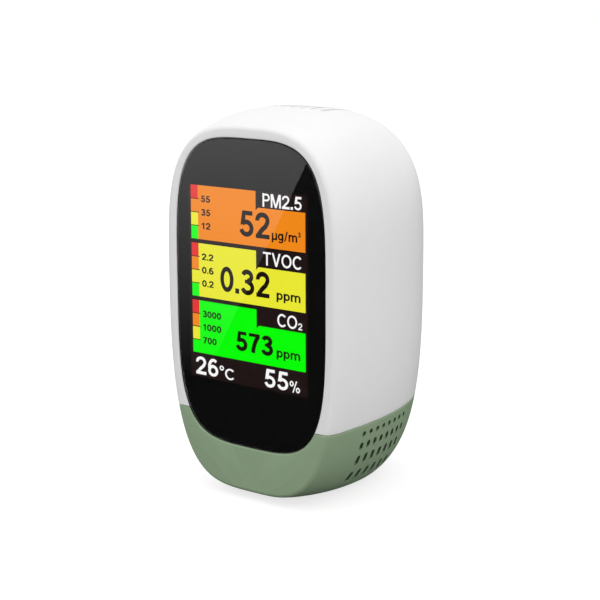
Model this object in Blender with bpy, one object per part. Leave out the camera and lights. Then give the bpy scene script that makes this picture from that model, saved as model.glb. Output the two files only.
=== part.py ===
"""Desktop air quality monitor: a white housing on a green base, with its display and sensors inside.

Metres, +Z up. The feet stand on Z = 0, the display faces -Y, and the origin is under the middle of the
body. Depths are measured back from the front face, heights up from the table.
"""

import math

import bmesh
import bpy
from mathutils import Matrix, Vector

MM = 0.001
GAP = 0.3 * MM  # clearance between pieces that touch

# --- Body outline: a superellipse at each depth, swept from front to back ---
DEPTH = 62.5 * MM
HALF_WIDTH = 32.7 * MM
WIDEST_HEIGHT = 67.4 * MM
RISE = 47.25 * MM  # widest level to the top of the dome
DROP = 68.65 * MM  # widest level to the bottom of the dome, before the underside is cut flat
UNDERSIDE = 0.8 * MM
SEAM_HEIGHT = 24.7 * MM
UPPER_POWERS = (3.10, 3.26)
LOWER_POWERS = (3.53, 2.92)
EDGE_RADIUS = 0.9 * MM
BACK_EDGE_RADIUS = 3.0 * MM
BACK_EDGE_TURN = math.radians(46)
DOME_APEX = 66.0 * MM
# (amount, length) by which the width, the rise and the drop shrink towards each end
FRONT_TAPER = ((1.5 * MM, 5.0 * MM), (4.5 * MM, 22.0 * MM), (3.8 * MM, 34.0 * MM))
BACK_DOME = ((24.0 * MM, 53.7 * MM), (30.7 * MM, 42.1 * MM), (23.3 * MM, 33.0 * MM))
WALL = 2.0 * MM
RING_POINTS = 44
OUTER_DEPTHS = (0.0, 0.15, 0.45, 0.9, 2.5, 5.0, 12.0, 22.0, 32.0, 41.0, 49.0, 55.0, 59.0)
CAVITY_DEPTHS = (3.8, 8.0, 20.0, 32.0, 42.0, 50.0, 56.0, 59.2)

# --- Front glass and display ---
GLASS_HEIGHT = 65.2 * MM  # the glass's widest level
GLASS_HALF_WIDTH = 27.8 * MM
GLASS_RISE = 41.6 * MM
GLASS_DROP = 49.1 * MM
GLASS_UPPER_POWERS = (3.68, 3.75)
GLASS_LOWER_POWERS = (3.76, 4.18)
GLASS_THICK = 1.1 * MM
GASKET_FRONT = 1.35 * MM
GASKET_THICK = 0.4 * MM
POCKET_DEPTH = 2.0 * MM
DISPLAY_CENTRE = Vector((-0.3 * MM, 0.0, 62.2 * MM))
PANEL_SIZE = (47.0 * MM, 1.2 * MM, 64.0 * MM)
PANEL_FRONT = 1.4 * MM
BACKLIGHT_SIZE = (47.0 * MM, 1.5 * MM, 64.0 * MM)
BACKLIGHT_FRONT = 2.9 * MM
WINDOW_SIZE = (47.6 * MM, 64.6 * MM)

# --- Display bracket, main board and what joins them ---
BRACKET_FRONT = 5.0 * MM
BRACKET_THICK = 1.0 * MM
BRACKET_SCREW_HEIGHTS = (84.0 * MM, 44.0 * MM)
BRACKET_SCREWS = [(side * 27.3 * MM, height) for height in BRACKET_SCREW_HEIGHTS for side in (-1, 1)]
BOARD_FRONT = 11.0 * MM
BOARD_THICK = 1.4 * MM
BOARD_SIZE = (44.0 * MM, 70.0 * MM)
BOARD_HEIGHT = 65.5 * MM  # the board's middle
BOARD_SCREWS = [(side * 19.0 * MM, height) for height in (97.0 * MM, 34.0 * MM) for side in (-1, 1)]

# --- Sensors, battery and carrier ---
CO2_SIZE = (33.0 * MM, 9.0 * MM, 20.0 * MM)
CO2_HEIGHT = 78.0 * MM
PM_SIZE = (38.0 * MM, 12.0 * MM, 35.0 * MM)
PM_FRONT = 24.0 * MM
PM_HEIGHT = 47.5 * MM
PM_WALL = 1.0 * MM
FAN_CENTRE = (8.5 * MM, 48.0 * MM)  # across and up
FAN_RADIUS = 8.0 * MM
FAN_BLADES = 9
CARRIER_FRONT = 37.6 * MM
CARRIER_THICK = 1.5 * MM
CARRIER_TOP = 100.0 * MM
CARRIER_SCREW_SIDE = 17.5 * MM
CARRIER_SCREW_DEPTH = 43.0 * MM
BATTERY_SIZE = (34.0 * MM, 9.0 * MM, 36.0 * MM)
BATTERY_FRONT = 28.0 * MM
BATTERY_HEIGHT = 86.0 * MM

# --- Rear board, socket and power button ---
REAR_BOARD_FRONT = 52.6 * MM
REAR_BOARD_THICK = 1.2 * MM
REAR_BOARD_SIZE = (26.0 * MM, 30.0 * MM)
REAR_BOARD_HEIGHT = 49.5 * MM
REAR_SCREWS = ((-10.0 * MM, 49.5 * MM), (10.0 * MM, 49.5 * MM))
USB_HEIGHT = 40.0 * MM
USB_SHELL = (8.94 * MM, 3.2 * MM)
BUTTON_HEIGHT = 58.5 * MM
BUTTON_RADIUS = 3.4 * MM
BUTTON_PROUD = 0.7 * MM

# --- Base: screws, feet and vents ---
BASE_SCREW_DEPTHS = (13.5 * MM, 43.0 * MM)
BASE_SCREWS = [(side * 11.0 * MM, depth) for depth in BASE_SCREW_DEPTHS for side in (-1, 1)]
BAR_TOP = 29.2 * MM
HEAD_SEAT = 16.4 * MM
FEET = ((-10.0 * MM, 21.5 * MM), (10.0 * MM, 21.5 * MM), (-9.0 * MM, 35.0 * MM), (9.0 * MM, 35.0 * MM))
FOOT_RADIUS = 3.0 * MM
FOOT_TOP = 1.5 * MM
VENT_RADIUS = 0.85 * MM
# (height, depth of the first hole, pitch, holes, how tall each hole is), in millimetres
VENT_ROWS = (
    (21.75, 16.8, 3.52, 8, 1.7), (17.8, 16.9, 3.52, 8, 2.4), (13.1, 17.4, 3.8, 7, 3.2), (7.4, 17.7, 4.05, 6, 3.5),
)
SLOT_COUNT = 7
SLOT_PITCH = 3.75 * MM
SLOT_SIZE = (1.6 * MM, 21.0 * MM)
SLOT_DEPTH = 30.2 * MM


# --- Body geometry ---
def at_depth(depth):
    """World Y of a point this far back from the front face."""
    return depth - (DEPTH + BUTTON_PROUD) / 2


def half_sizes(depth):
    """Half-width, rise and drop of the body's outline at a depth."""
    sizes = []
    edge = 0.0
    if depth < EDGE_RADIUS:
        edge = EDGE_RADIUS - math.sqrt(EDGE_RADIUS**2 - (EDGE_RADIUS - depth) ** 2)
    full_sizes = (HALF_WIDTH, RISE, DROP)
    for full, (front, front_length), (back, back_length) in zip(full_sizes, FRONT_TAPER, BACK_DOME):
        ahead = max(0.0, 1 - depth / front_length)
        behind = max(0.0, (depth - DOME_APEX + back_length) / back_length)
        sizes.append(full - edge - front * ahead**2 - back * (1 - math.sqrt(1 - behind**2)))
    return sizes


def superellipse(half_width, rise, drop, upper, lower, count):
    """Closed outline as (across, up) points from the widest level, anticlockwise from the right."""
    points = []
    for step in range(count):
        angle = 2 * math.pi * step / count
        across, up = math.cos(angle), math.sin(angle)
        height, powers = (rise, upper) if up >= 0 else (drop, lower)
        x = math.copysign(half_width * abs(across) ** (2 / powers[0]), across)
        z = math.copysign(height * abs(up) ** (2 / powers[1]), up)
        points.append((x, z))
    return points


def body_ring(depth, inset, sizes=None):
    """The body's outline at a depth, drawn in by an inset and flattened at the underside."""
    half_width, rise, drop = sizes or half_sizes(depth)
    drawn_in = (half_width - inset, rise - inset, drop - inset)
    outline = superellipse(*drawn_in, UPPER_POWERS, LOWER_POWERS, RING_POINTS)
    floor = UNDERSIDE + inset
    return [Vector((x, at_depth(depth), max(floor, WIDEST_HEIGHT + z))) for x, z in outline]


def side_at(depth, height, inset):
    """Half-width of the body at a depth and a height, less an inset."""
    half_width, rise, drop = half_sizes(depth)
    up = height - WIDEST_HEIGHT
    reach, powers = (rise, UPPER_POWERS) if up >= 0 else (drop, LOWER_POWERS)
    return half_width * (1 - min(1.0, abs(up) / reach) ** powers[1]) ** (1 / powers[0]) - inset


def outer_rings():
    """Rings of the outside, from the front edge to the rounded edge of the flat back."""
    rings = [body_ring(depth * MM, 0.0) for depth in OUTER_DEPTHS]
    arc_centre = DEPTH - BACK_EDGE_RADIUS
    arc_start = arc_centre + BACK_EDGE_RADIUS * math.sin(BACK_EDGE_TURN)
    rings.append(body_ring(arc_start, 0.0))
    steps = 3
    for step in range(1, steps + 1):
        turn = BACK_EDGE_TURN + (math.pi / 2 - BACK_EDGE_TURN) * step / steps
        drawn_in = BACK_EDGE_RADIUS * (math.cos(BACK_EDGE_TURN) - math.cos(turn))
        sizes = [size - drawn_in for size in half_sizes(arc_start)]
        rings.append(body_ring(arc_centre + BACK_EDGE_RADIUS * math.sin(turn), 0.0, sizes))
    return rings


def cavity_rings():
    """Rings of the hollow. The wall's inset grows towards the slanted back, to keep its thickness."""
    rings = []
    for depth in CAVITY_DEPTHS:
        inset = WALL * (1 + 0.6 * (depth * MM / DEPTH) ** 2)
        rings.append(body_ring(depth * MM, inset))
    last = rings[-1]
    rings.append([Vector((p.x * 0.9, at_depth(DEPTH - WALL), p.z)) for p in last])
    return rings


# --- Making objects ---
def clear_scene():
    for obj in list(bpy.data.objects):
        bpy.data.objects.remove(obj, do_unlink=True)


def material(name, colour, roughness, metallic=0.0, transmission=0.0):
    made = bpy.data.materials.new(name)
    made.use_nodes = True
    shader = made.node_tree.nodes["Principled BSDF"]
    shader.inputs["Base Color"].default_value = (*colour, 1.0)
    shader.inputs["Roughness"].default_value = roughness
    shader.inputs["Metallic"].default_value = metallic
    shader.inputs["Transmission Weight"].default_value = transmission
    made.diffuse_color = (*colour, 1.0)
    return made


def make_object(name, bm, made_of, smooth_angle=None):
    """One object from a bmesh, with its normals facing out."""
    bmesh.ops.recalc_face_normals(bm, faces=bm.faces)
    mesh = bpy.data.meshes.new(name)
    bm.to_mesh(mesh)
    bm.free()
    if smooth_angle is not None:
        mesh.shade_smooth()
        mesh.set_sharp_from_angle(angle=math.radians(smooth_angle))
    obj = bpy.data.objects.new(name, mesh)
    bpy.context.scene.collection.objects.link(obj)
    if made_of:
        mesh.materials.append(made_of)
    return obj


def add_loft(bm, rings):
    """A closed skin through rings of equal count, with a flat cap on each end."""
    loops = [[bm.verts.new(point) for point in ring] for ring in rings]
    count = len(loops[0])
    for first, second in zip(loops, loops[1:]):
        for i in range(count):
            j = (i + 1) % count
            bm.faces.new((first[i], first[j], second[j], second[i]))
    bm.faces.new(loops[0])
    bm.faces.new(loops[-1])


def add_prism(bm, outline, axis, start, end):
    """A straight extrusion along Y or Z of an outline given as (x, other) points."""
    if axis == "Y":
        rings = [[Vector((x, level, other)) for x, other in outline] for level in (start, end)]
    else:
        rings = [[Vector((x, other, level)) for x, other in outline] for level in (start, end)]
    add_loft(bm, rings)


def add_box(bm, low, high):
    matrix = Matrix.Translation((Vector(low) + Vector(high)) / 2)
    size = Vector(high) - Vector(low)
    bmesh.ops.create_cube(bm, size=1.0, matrix=matrix @ Matrix.Diagonal((*size, 1.0)))


def circle(x, other, radius, sides):
    turn = 2 * math.pi / sides
    return [(x + radius * math.cos(i * turn), other + radius * math.sin(i * turn)) for i in range(sides)]


def rounded_rectangle(centre, size, radius, steps=3):
    """A rectangle's outline with round corners, as (x, other) points."""
    points = []
    for corner in range(4):
        sign_x = 1 if corner in (0, 3) else -1
        sign_z = 1 if corner in (0, 1) else -1
        middle_x = centre[0] + sign_x * (size[0] / 2 - radius)
        middle_z = centre[1] + sign_z * (size[1] / 2 - radius)
        for step in range(steps + 1):
            angle = math.pi / 2 * (corner + step / steps)
            points.append((middle_x + radius * math.cos(angle), middle_z + radius * math.sin(angle)))
    return points


def box(name, low, high, made_of):
    bm = bmesh.new()
    add_box(bm, low, high)
    return make_object(name, bm, made_of)


def plate(name, outline, front, thick, made_of):
    """A flat plate facing the front, at a depth."""
    bm = bmesh.new()
    add_prism(bm, outline, "Y", at_depth(front), at_depth(front + thick))
    return make_object(name, bm, made_of, 40)


def turned(name, profile, place, axis, made_of, sides=12):
    """A turned piece from (radius, along) points, closed on its axis, along -Y, +Y or +Z from a place."""
    bm = bmesh.new()
    rings = []
    for radius, along in profile:
        rings.append([Vector((x, y, along)) for x, y in circle(0.0, 0.0, radius, sides)])
    add_loft(bm, rings)
    turns = {"Z": Matrix.Identity(4), "-Z": Matrix.Rotation(math.pi, 4, "X")}
    turns["Y"] = Matrix.Rotation(-math.pi / 2, 4, "X")
    turns["-Y"] = Matrix.Rotation(math.pi / 2, 4, "X")
    bm.transform(turns[axis])
    obj = make_object(name, bm, made_of, 40)
    obj.location = place
    return obj


def tool(name, bm):
    """A cutter or an addition for a Boolean, left out of the model."""
    obj = make_object(name, bm, None)
    obj.hide_render = True
    obj.display_type = "WIRE"
    return obj


def combine(target, other, operation, solver="EXACT"):
    modifier = target.modifiers.new(f"{operation.lower()} {other.name}", "BOOLEAN")
    modifier.operation = operation
    modifier.solver = solver
    modifier.object = other


def screw_profile(head_radius, head, shank_radius, shank):
    """A pan head with a dished top, then its shank, along the way it is driven."""
    chamfer = 0.25 * MM
    return [
        (head_radius - 2 * chamfer, -head),
        (head_radius, -head + chamfer),
        (head_radius, 0.0),
        (shank_radius, 0.0),
        (shank_radius, shank - chamfer),
        (shank_radius * 0.5, shank),
    ]


# --- Shells ---
def glass_outline(grow, count=40):
    grown = (GLASS_HALF_WIDTH + grow, GLASS_RISE + grow, GLASS_DROP + grow)
    outline = superellipse(*grown, GLASS_UPPER_POWERS, GLASS_LOWER_POWERS, count)
    return [(x, GLASS_HEIGHT + z) for x, z in outline]


def shell_blank(name, low, high, made_of):
    """The hollow body between two heights."""
    bm = bmesh.new()
    add_loft(bm, outer_rings())
    shell = make_object(name, bm, made_of, 35)
    bm = bmesh.new()
    add_loft(bm, cavity_rings())
    combine(shell, tool(f"{name} cavity", bm), "DIFFERENCE")
    bm = bmesh.new()
    reach = 2 * DEPTH
    add_box(bm, (-reach, -reach, low), (reach, reach, high))
    combine(shell, tool(f"{name} range", bm), "INTERSECT")
    return shell


def glass_pocket(name):
    bm = bmesh.new()
    add_prism(bm, glass_outline(0.15 * MM), "Y", at_depth(-1 * MM), at_depth(POCKET_DEPTH))
    return tool(name, bm)


def upper_housing(made_of):
    housing = shell_blank("upper_housing", SEAM_HEIGHT + GAP / 2, 2 * RISE + WIDEST_HEIGHT, made_of)
    bm = bmesh.new()
    for depth in BASE_SCREW_DEPTHS:
        reach = side_at(depth, SEAM_HEIGHT, WALL / 2)
        low = (-reach, at_depth(depth - 3 * MM), SEAM_HEIGHT + GAP / 2)
        add_box(bm, low, (reach, at_depth(depth + 3 * MM), BAR_TOP))
    for x, z in BRACKET_SCREWS:
        add_prism(bm, circle(x, z, 1.9 * MM, 10), "Y", at_depth(3.0 * MM), at_depth(BRACKET_FRONT - GAP))
    boss_front = REAR_BOARD_FRONT + REAR_BOARD_THICK + GAP
    for x, z in REAR_SCREWS:
        add_prism(bm, circle(x, z, 2.2 * MM, 10), "Y", at_depth(boss_front), at_depth(DEPTH - WALL / 2))
    combine(housing, tool("housing bars and bosses", bm), "UNION")
    combine(housing, glass_pocket("housing glass pocket"), "DIFFERENCE")
    bm = bmesh.new()
    window = rounded_rectangle((DISPLAY_CENTRE.x, DISPLAY_CENTRE.z), WINDOW_SIZE, 1.5 * MM)
    add_prism(bm, window, "Y", at_depth(POCKET_DEPTH - GAP), at_depth(4.4 * MM))
    for x, z in BRACKET_SCREWS:
        add_prism(bm, circle(x, z, 1.0 * MM, 8), "Y", at_depth(2.6 * MM), at_depth(BRACKET_FRONT))
    for x, z in REAR_SCREWS:
        add_prism(bm, circle(x, z, 1.1 * MM, 8), "Y", at_depth(boss_front - GAP), at_depth(DEPTH - 3.5 * MM))
    for x, depth in BASE_SCREWS:
        add_prism(bm, circle(x, at_depth(depth), 1.3 * MM, 8), "Z", SEAM_HEIGHT - GAP, BAR_TOP - 1.2 * MM)
    for x in (-CARRIER_SCREW_SIDE, CARRIER_SCREW_SIDE):
        hole = circle(x, at_depth(CARRIER_SCREW_DEPTH), 1.1 * MM, 8)
        add_prism(bm, hole, "Z", BAR_TOP - 3.2 * MM, BAR_TOP + GAP)
    usb = rounded_rectangle((0.0, USB_HEIGHT), (USB_SHELL[0] + 2 * GAP, USB_SHELL[1] + 2 * GAP), 1.85 * MM)
    add_prism(bm, usb, "Y", at_depth(DEPTH - 2 * WALL), at_depth(DEPTH + WALL))
    button = circle(0.0, BUTTON_HEIGHT, BUTTON_RADIUS + GAP, 20)
    add_prism(bm, button, "Y", at_depth(DEPTH - 2 * WALL), at_depth(DEPTH + WALL))
    for index in range(SLOT_COUNT):
        middle = ((index - (SLOT_COUNT - 1) / 2) * SLOT_PITCH, at_depth(SLOT_DEPTH))
        slot = rounded_rectangle(middle, SLOT_SIZE, SLOT_SIZE[0] / 2, 2)
        add_prism(bm, slot, "Z", WIDEST_HEIGHT + RISE - 3 * WALL, WIDEST_HEIGHT + RISE + WALL)
    combine(housing, tool("housing openings", bm), "DIFFERENCE")
    return housing


def lip_outline(height, inset, steps=9):
    """The hollow's plan at a height, drawn in by an inset."""
    front = 3.8 * MM + inset - WALL
    back = DEPTH - inset - 0.6 * MM
    side = []
    for step in range(steps + 1):
        depth = front + (back - front) * math.sin(math.pi / 2 * step / steps)
        slant = 0.6 * WALL * (depth / DEPTH) ** 2
        side.append((side_at(min(depth, 59 * MM), height, inset + slant), at_depth(depth)))
    return side + [(-x, y) for x, y in reversed(side)]


def add_band(bm, outer, inner, low, high):
    """A closed wall between two outlines of equal count."""
    corners = ((outer, low), (outer, high), (inner, high), (inner, low))
    loops = [[bm.verts.new((x, y, level)) for x, y in outline] for outline, level in corners]
    count = len(outer)
    for k in range(4):
        first, second = loops[k], loops[(k + 1) % 4]
        for i in range(count):
            j = (i + 1) % count
            bm.faces.new((first[i], first[j], second[j], second[i]))


def base_lip(name):
    """The tongue that stands inside the housing: a foot in the base's wall, and an upright above the seam."""
    bm = bmesh.new()
    inner = lip_outline(SEAM_HEIGHT, WALL + 1.6 * MM)
    add_band(bm, lip_outline(SEAM_HEIGHT, WALL / 2), inner, SEAM_HEIGHT - 2.2 * MM, SEAM_HEIGHT - GAP)
    foot = tool(f"{name} foot", bm)
    bm = bmesh.new()
    outer = lip_outline(SEAM_HEIGHT, WALL + 1.5 * GAP)
    add_band(bm, outer, inner, SEAM_HEIGHT - 1.0 * MM, SEAM_HEIGHT + 2.4 * MM)
    lip = tool(name, bm)
    combine(lip, foot, "UNION")
    return lip


def vent_cutter():
    """Rows of holes across both sides of the base, round at the top and taller in each row below."""
    bm = bmesh.new()
    for side in (-1, 1):
        for height, first_depth, pitch, holes, tall in VENT_ROWS:
            stretch = tall * MM / 2 - VENT_RADIUS
            for index in range(holes):
                y = at_depth((first_depth + index * pitch) * MM)
                turn = Matrix.Rotation(math.pi / 2, 4, "Y") @ Matrix.Rotation(math.pi / 6, 4, "Z")
                place = Matrix.Translation((side * 26 * MM, y, height * MM))
                made = bmesh.ops.create_cone(
                    bm, cap_ends=True, segments=6, radius1=VENT_RADIUS, radius2=VENT_RADIUS,
                    depth=20 * MM, matrix=place @ turn,
                )
                for vert in made["verts"]:
                    vert.co.z += math.copysign(stretch, vert.co.z - height * MM)
    return tool("vent holes", bm)


def base_shell(made_of):
    base = shell_blank("base_shell", 0.0, SEAM_HEIGHT - GAP / 2, made_of)
    bm = bmesh.new()
    for x, depth in BASE_SCREWS:
        tower = circle(x, at_depth(depth), 3.6 * MM, 12)
        add_prism(bm, tower, "Z", UNDERSIDE + 1.0 * MM, SEAM_HEIGHT - GAP / 2)
    combine(base, tool("screw towers", bm), "UNION")
    combine(base, base_lip("base lip"), "UNION")
    combine(base, glass_pocket("base glass pocket"), "DIFFERENCE")
    bm = bmesh.new()
    for depth in BASE_SCREW_DEPTHS:
        reach = side_at(depth, SEAM_HEIGHT, WALL)
        low = (-reach, at_depth(depth - 3 * MM - GAP), SEAM_HEIGHT - 2 * GAP)
        add_box(bm, low, (reach, at_depth(depth + 3 * MM + GAP), BAR_TOP))
    combine(base, tool("lip gaps at the bars", bm), "DIFFERENCE")
    bm = bmesh.new()
    well = ((2.5 * MM, 0.0), (2.5 * MM, HEAD_SEAT), (1.3 * MM, HEAD_SEAT), (1.3 * MM, SEAM_HEIGHT + GAP))
    for x, depth in BASE_SCREWS:
        rings = []
        for radius, level in well:
            rings.append([Vector((px, py, level)) for px, py in circle(x, at_depth(depth), radius, 16)])
        add_loft(bm, rings)
    for x, depth in FEET:
        recess = circle(x, at_depth(depth), FOOT_RADIUS + GAP, 16)
        add_prism(bm, recess, "Z", 0.0, FOOT_TOP + GAP)
    combine(base, tool("screw wells and foot recesses", bm), "DIFFERENCE")
    combine(base, vent_cutter(), "DIFFERENCE", "MANIFOLD")
    return base


def fasteners_of_base(metal, rubber):
    screw = screw_profile(2.1 * MM, 1.5 * MM, 1.0 * MM, 10.5 * MM)
    for number, (x, depth) in enumerate(BASE_SCREWS, 1):
        place = (x, at_depth(depth), HEAD_SEAT - GAP)
        turned(f"base_screw_{number}", screw, place, "Z", metal)
    foot = [(FOOT_RADIUS - 0.3 * MM, 0.0), (FOOT_RADIUS, 0.3 * MM), (FOOT_RADIUS, FOOT_TOP)]
    for number, (x, depth) in enumerate(FEET, 1):
        turned(f"rubber_foot_{number}", foot, (x, at_depth(depth), 0.0), "Z", rubber, 16)


# --- Display stack ---
def front_glass(made_of):
    return plate("front_glass", glass_outline(0.0, 48), 0.05 * MM, GLASS_THICK, made_of)


def glass_gasket(made_of):
    """The adhesive frame between the glass and the ledge, open where the panel sits."""
    gasket = plate("glass_gasket", glass_outline(-0.3 * MM, 36), GASKET_FRONT, GASKET_THICK, made_of)
    bm = bmesh.new()
    opening = rounded_rectangle((DISPLAY_CENTRE.x, DISPLAY_CENTRE.z), WINDOW_SIZE, 1.5 * MM)
    add_prism(bm, opening, "Y", at_depth(GASKET_FRONT - GAP), at_depth(GASKET_FRONT + GASKET_THICK + GAP))
    combine(gasket, tool("gasket opening", bm), "DIFFERENCE")
    return gasket


def display_pieces(panel_made_of, light_made_of):
    middle = (DISPLAY_CENTRE.x, DISPLAY_CENTRE.z)
    panel = rounded_rectangle(middle, (PANEL_SIZE[0], PANEL_SIZE[2]), 0.6 * MM, 2)
    plate("display_panel", panel, PANEL_FRONT, PANEL_SIZE[1], panel_made_of)
    light = rounded_rectangle(middle, (BACKLIGHT_SIZE[0], BACKLIGHT_SIZE[2]), 1.0 * MM, 2)
    plate("display_backlight", light, BACKLIGHT_FRONT, BACKLIGHT_SIZE[1], light_made_of)


def display_bracket(made_of, metal):
    """A pressed sheet behind the backlight, with ears for its screws and a window for the flat cable."""
    bm = bmesh.new()
    low, high = at_depth(BRACKET_FRONT), at_depth(BRACKET_FRONT + BRACKET_THICK)
    add_prism(bm, rounded_rectangle((0.0, 64.5 * MM), (50.0 * MM, 69.0 * MM), 3 * MM), "Y", low, high)
    bracket = make_object("display_bracket", bm, made_of, 40)
    for row in sorted({place[1] for place in BRACKET_SCREWS}):
        bm = bmesh.new()
        add_prism(bm, rounded_rectangle((0.0, row), (59.0 * MM, 7.0 * MM), 2.2 * MM), "Y", low, high)
        combine(bracket, tool(f"bracket ears {row / MM:.0f}", bm), "UNION")
    bm = bmesh.new()
    window = rounded_rectangle((0.0, 40.0 * MM), (22.0 * MM, 5.0 * MM), 1 * MM)
    add_prism(bm, window, "Y", low - GAP, high + GAP)
    for x, z in BRACKET_SCREWS:
        add_prism(bm, circle(x, z, 1.1 * MM, 8), "Y", low - GAP, high + GAP)
    for x, z in ((-12 * MM, 76 * MM), (12 * MM, 76 * MM), (-12 * MM, 56 * MM), (12 * MM, 56 * MM)):
        add_prism(bm, rounded_rectangle((x, z), (18 * MM, 14 * MM), 2 * MM), "Y", low - GAP, high + GAP)
    combine(bracket, tool("bracket windows", bm), "DIFFERENCE")
    for number, (x, z) in enumerate(BRACKET_SCREWS, 1):
        place = (x, high + GAP, z)
        profile = screw_profile(1.5 * MM, 0.9 * MM, 0.7 * MM, 3.0 * MM)
        turned(f"bracket_screw_{number}", profile, place, "-Y", metal, 10)


def flat_cable(made_of):
    """The display's flat cable, from the foot of the panel back through the bracket to the board."""
    thick = 0.25 * MM
    half_width = 8.0 * MM
    start, end = BACKLIGHT_FRONT + BACKLIGHT_SIZE[1] + 0.3 * MM, BOARD_FRONT - 0.3 * MM
    route = [
        (start, 33.5 * MM), (start, 38.0 * MM), (start + 0.8 * MM, 39.4 * MM),
        (end - 1.2 * MM, 40.4 * MM), (end, 41.6 * MM), (end, 46.0 * MM),
    ]
    sides = []
    for index, (depth, height) in enumerate(route):
        before, after = route[max(0, index - 1)], route[min(len(route) - 1, index + 1)]
        along = Vector((after[0] - before[0], after[1] - before[1])).normalized()
        shift = Vector((-along.y, along.x)) * thick / 2
        sides.append((Vector((depth, height)) + shift, Vector((depth, height)) - shift))
    outline = [a for a, _ in sides] + [b for _, b in reversed(sides)]
    bm = bmesh.new()
    rings = [[Vector((x, at_depth(p.x), p.y)) for p in outline] for x in (-half_width, half_width)]
    add_loft(bm, rings)
    return make_object("display_flex_cable", bm, made_of)


# --- Main board ---
def main_board(made_of):
    outline = rounded_rectangle((0.0, BOARD_HEIGHT), BOARD_SIZE, 2 * MM)
    board = plate("main_board", outline, BOARD_FRONT, BOARD_THICK, made_of)
    bm = bmesh.new()
    for x, z in BOARD_SCREWS:
        hole = circle(x, z, 1.1 * MM, 8)
        add_prism(bm, hole, "Y", at_depth(BOARD_FRONT - GAP), at_depth(BOARD_FRONT + BOARD_THICK + GAP))
    combine(board, tool("board holes", bm), "DIFFERENCE")
    return board


def board_fixings(brass, metal):
    """Hexagonal spacers between bracket and board, and the screws that hold the board to them."""
    start = BRACKET_FRONT + BRACKET_THICK + GAP
    length = BOARD_FRONT - GAP - start
    for number, (x, z) in enumerate(BOARD_SCREWS, 1):
        bm = bmesh.new()
        outside = circle(x, z, 2.3 * MM, 6)
        add_prism(bm, outside, "Y", at_depth(start), at_depth(start + length))
        spacer = make_object(f"board_standoff_{number}", bm, brass)
        bm = bmesh.new()
        bore = circle(x, z, 1.1 * MM, 8)
        add_prism(bm, bore, "Y", at_depth(start + 1.0 * MM), at_depth(start + length + GAP))
        combine(spacer, tool(f"standoff bore {number}", bm), "DIFFERENCE")
        place = (x, at_depth(BOARD_FRONT + BOARD_THICK + GAP), z)
        profile = screw_profile(1.8 * MM, 1.1 * MM, 0.8 * MM, 4.2 * MM)
        turned(f"board_screw_{number}", profile, place, "-Y", metal, 10)


def chip(name, centre, size, made_of):
    """A box on the back of the main board, centred at (x, z)."""
    front = BOARD_FRONT + BOARD_THICK + GAP
    low = (centre[0] - size[0] / 2, at_depth(front), centre[1] - size[2] / 2)
    high = (centre[0] + size[0] / 2, at_depth(front + size[1]), centre[1] + size[2] / 2)
    return box(name, low, high, made_of)


def buzzer(made_of):
    """A round sounder with the hole in the middle of its lid."""
    place = (-13 * MM, at_depth(BOARD_FRONT + BOARD_THICK + GAP), 52 * MM)
    outside = [(4.5 * MM, 0), (4.5 * MM, 3.7 * MM), (4.2 * MM, 4.0 * MM)]
    profile = outside + [(1.0 * MM, 4.0 * MM), (1.0 * MM, 2.6 * MM)]
    return turned("buzzer", profile, place, "Y", made_of, 16)


def co2_sensor(body_made_of, filter_made_of):
    """A gilded optical chamber with a window for its air filter."""
    body = chip("co2_sensor", (0.0, CO2_HEIGHT), CO2_SIZE, body_made_of)
    back = BOARD_FRONT + BOARD_THICK + GAP + CO2_SIZE[1]
    bm = bmesh.new()
    well = rounded_rectangle((0.0, CO2_HEIGHT), (22.0 * MM, 9.0 * MM), 1.5 * MM)
    add_prism(bm, well, "Y", at_depth(back - 1.5 * MM), at_depth(back + GAP))
    combine(body, tool("co2 filter well", bm), "DIFFERENCE")
    patch = rounded_rectangle((0.0, CO2_HEIGHT), (21.4 * MM, 8.4 * MM), 1.2 * MM)
    plate("co2_filter", patch, back - 1.2 * MM, 1.0 * MM, filter_made_of)


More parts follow.
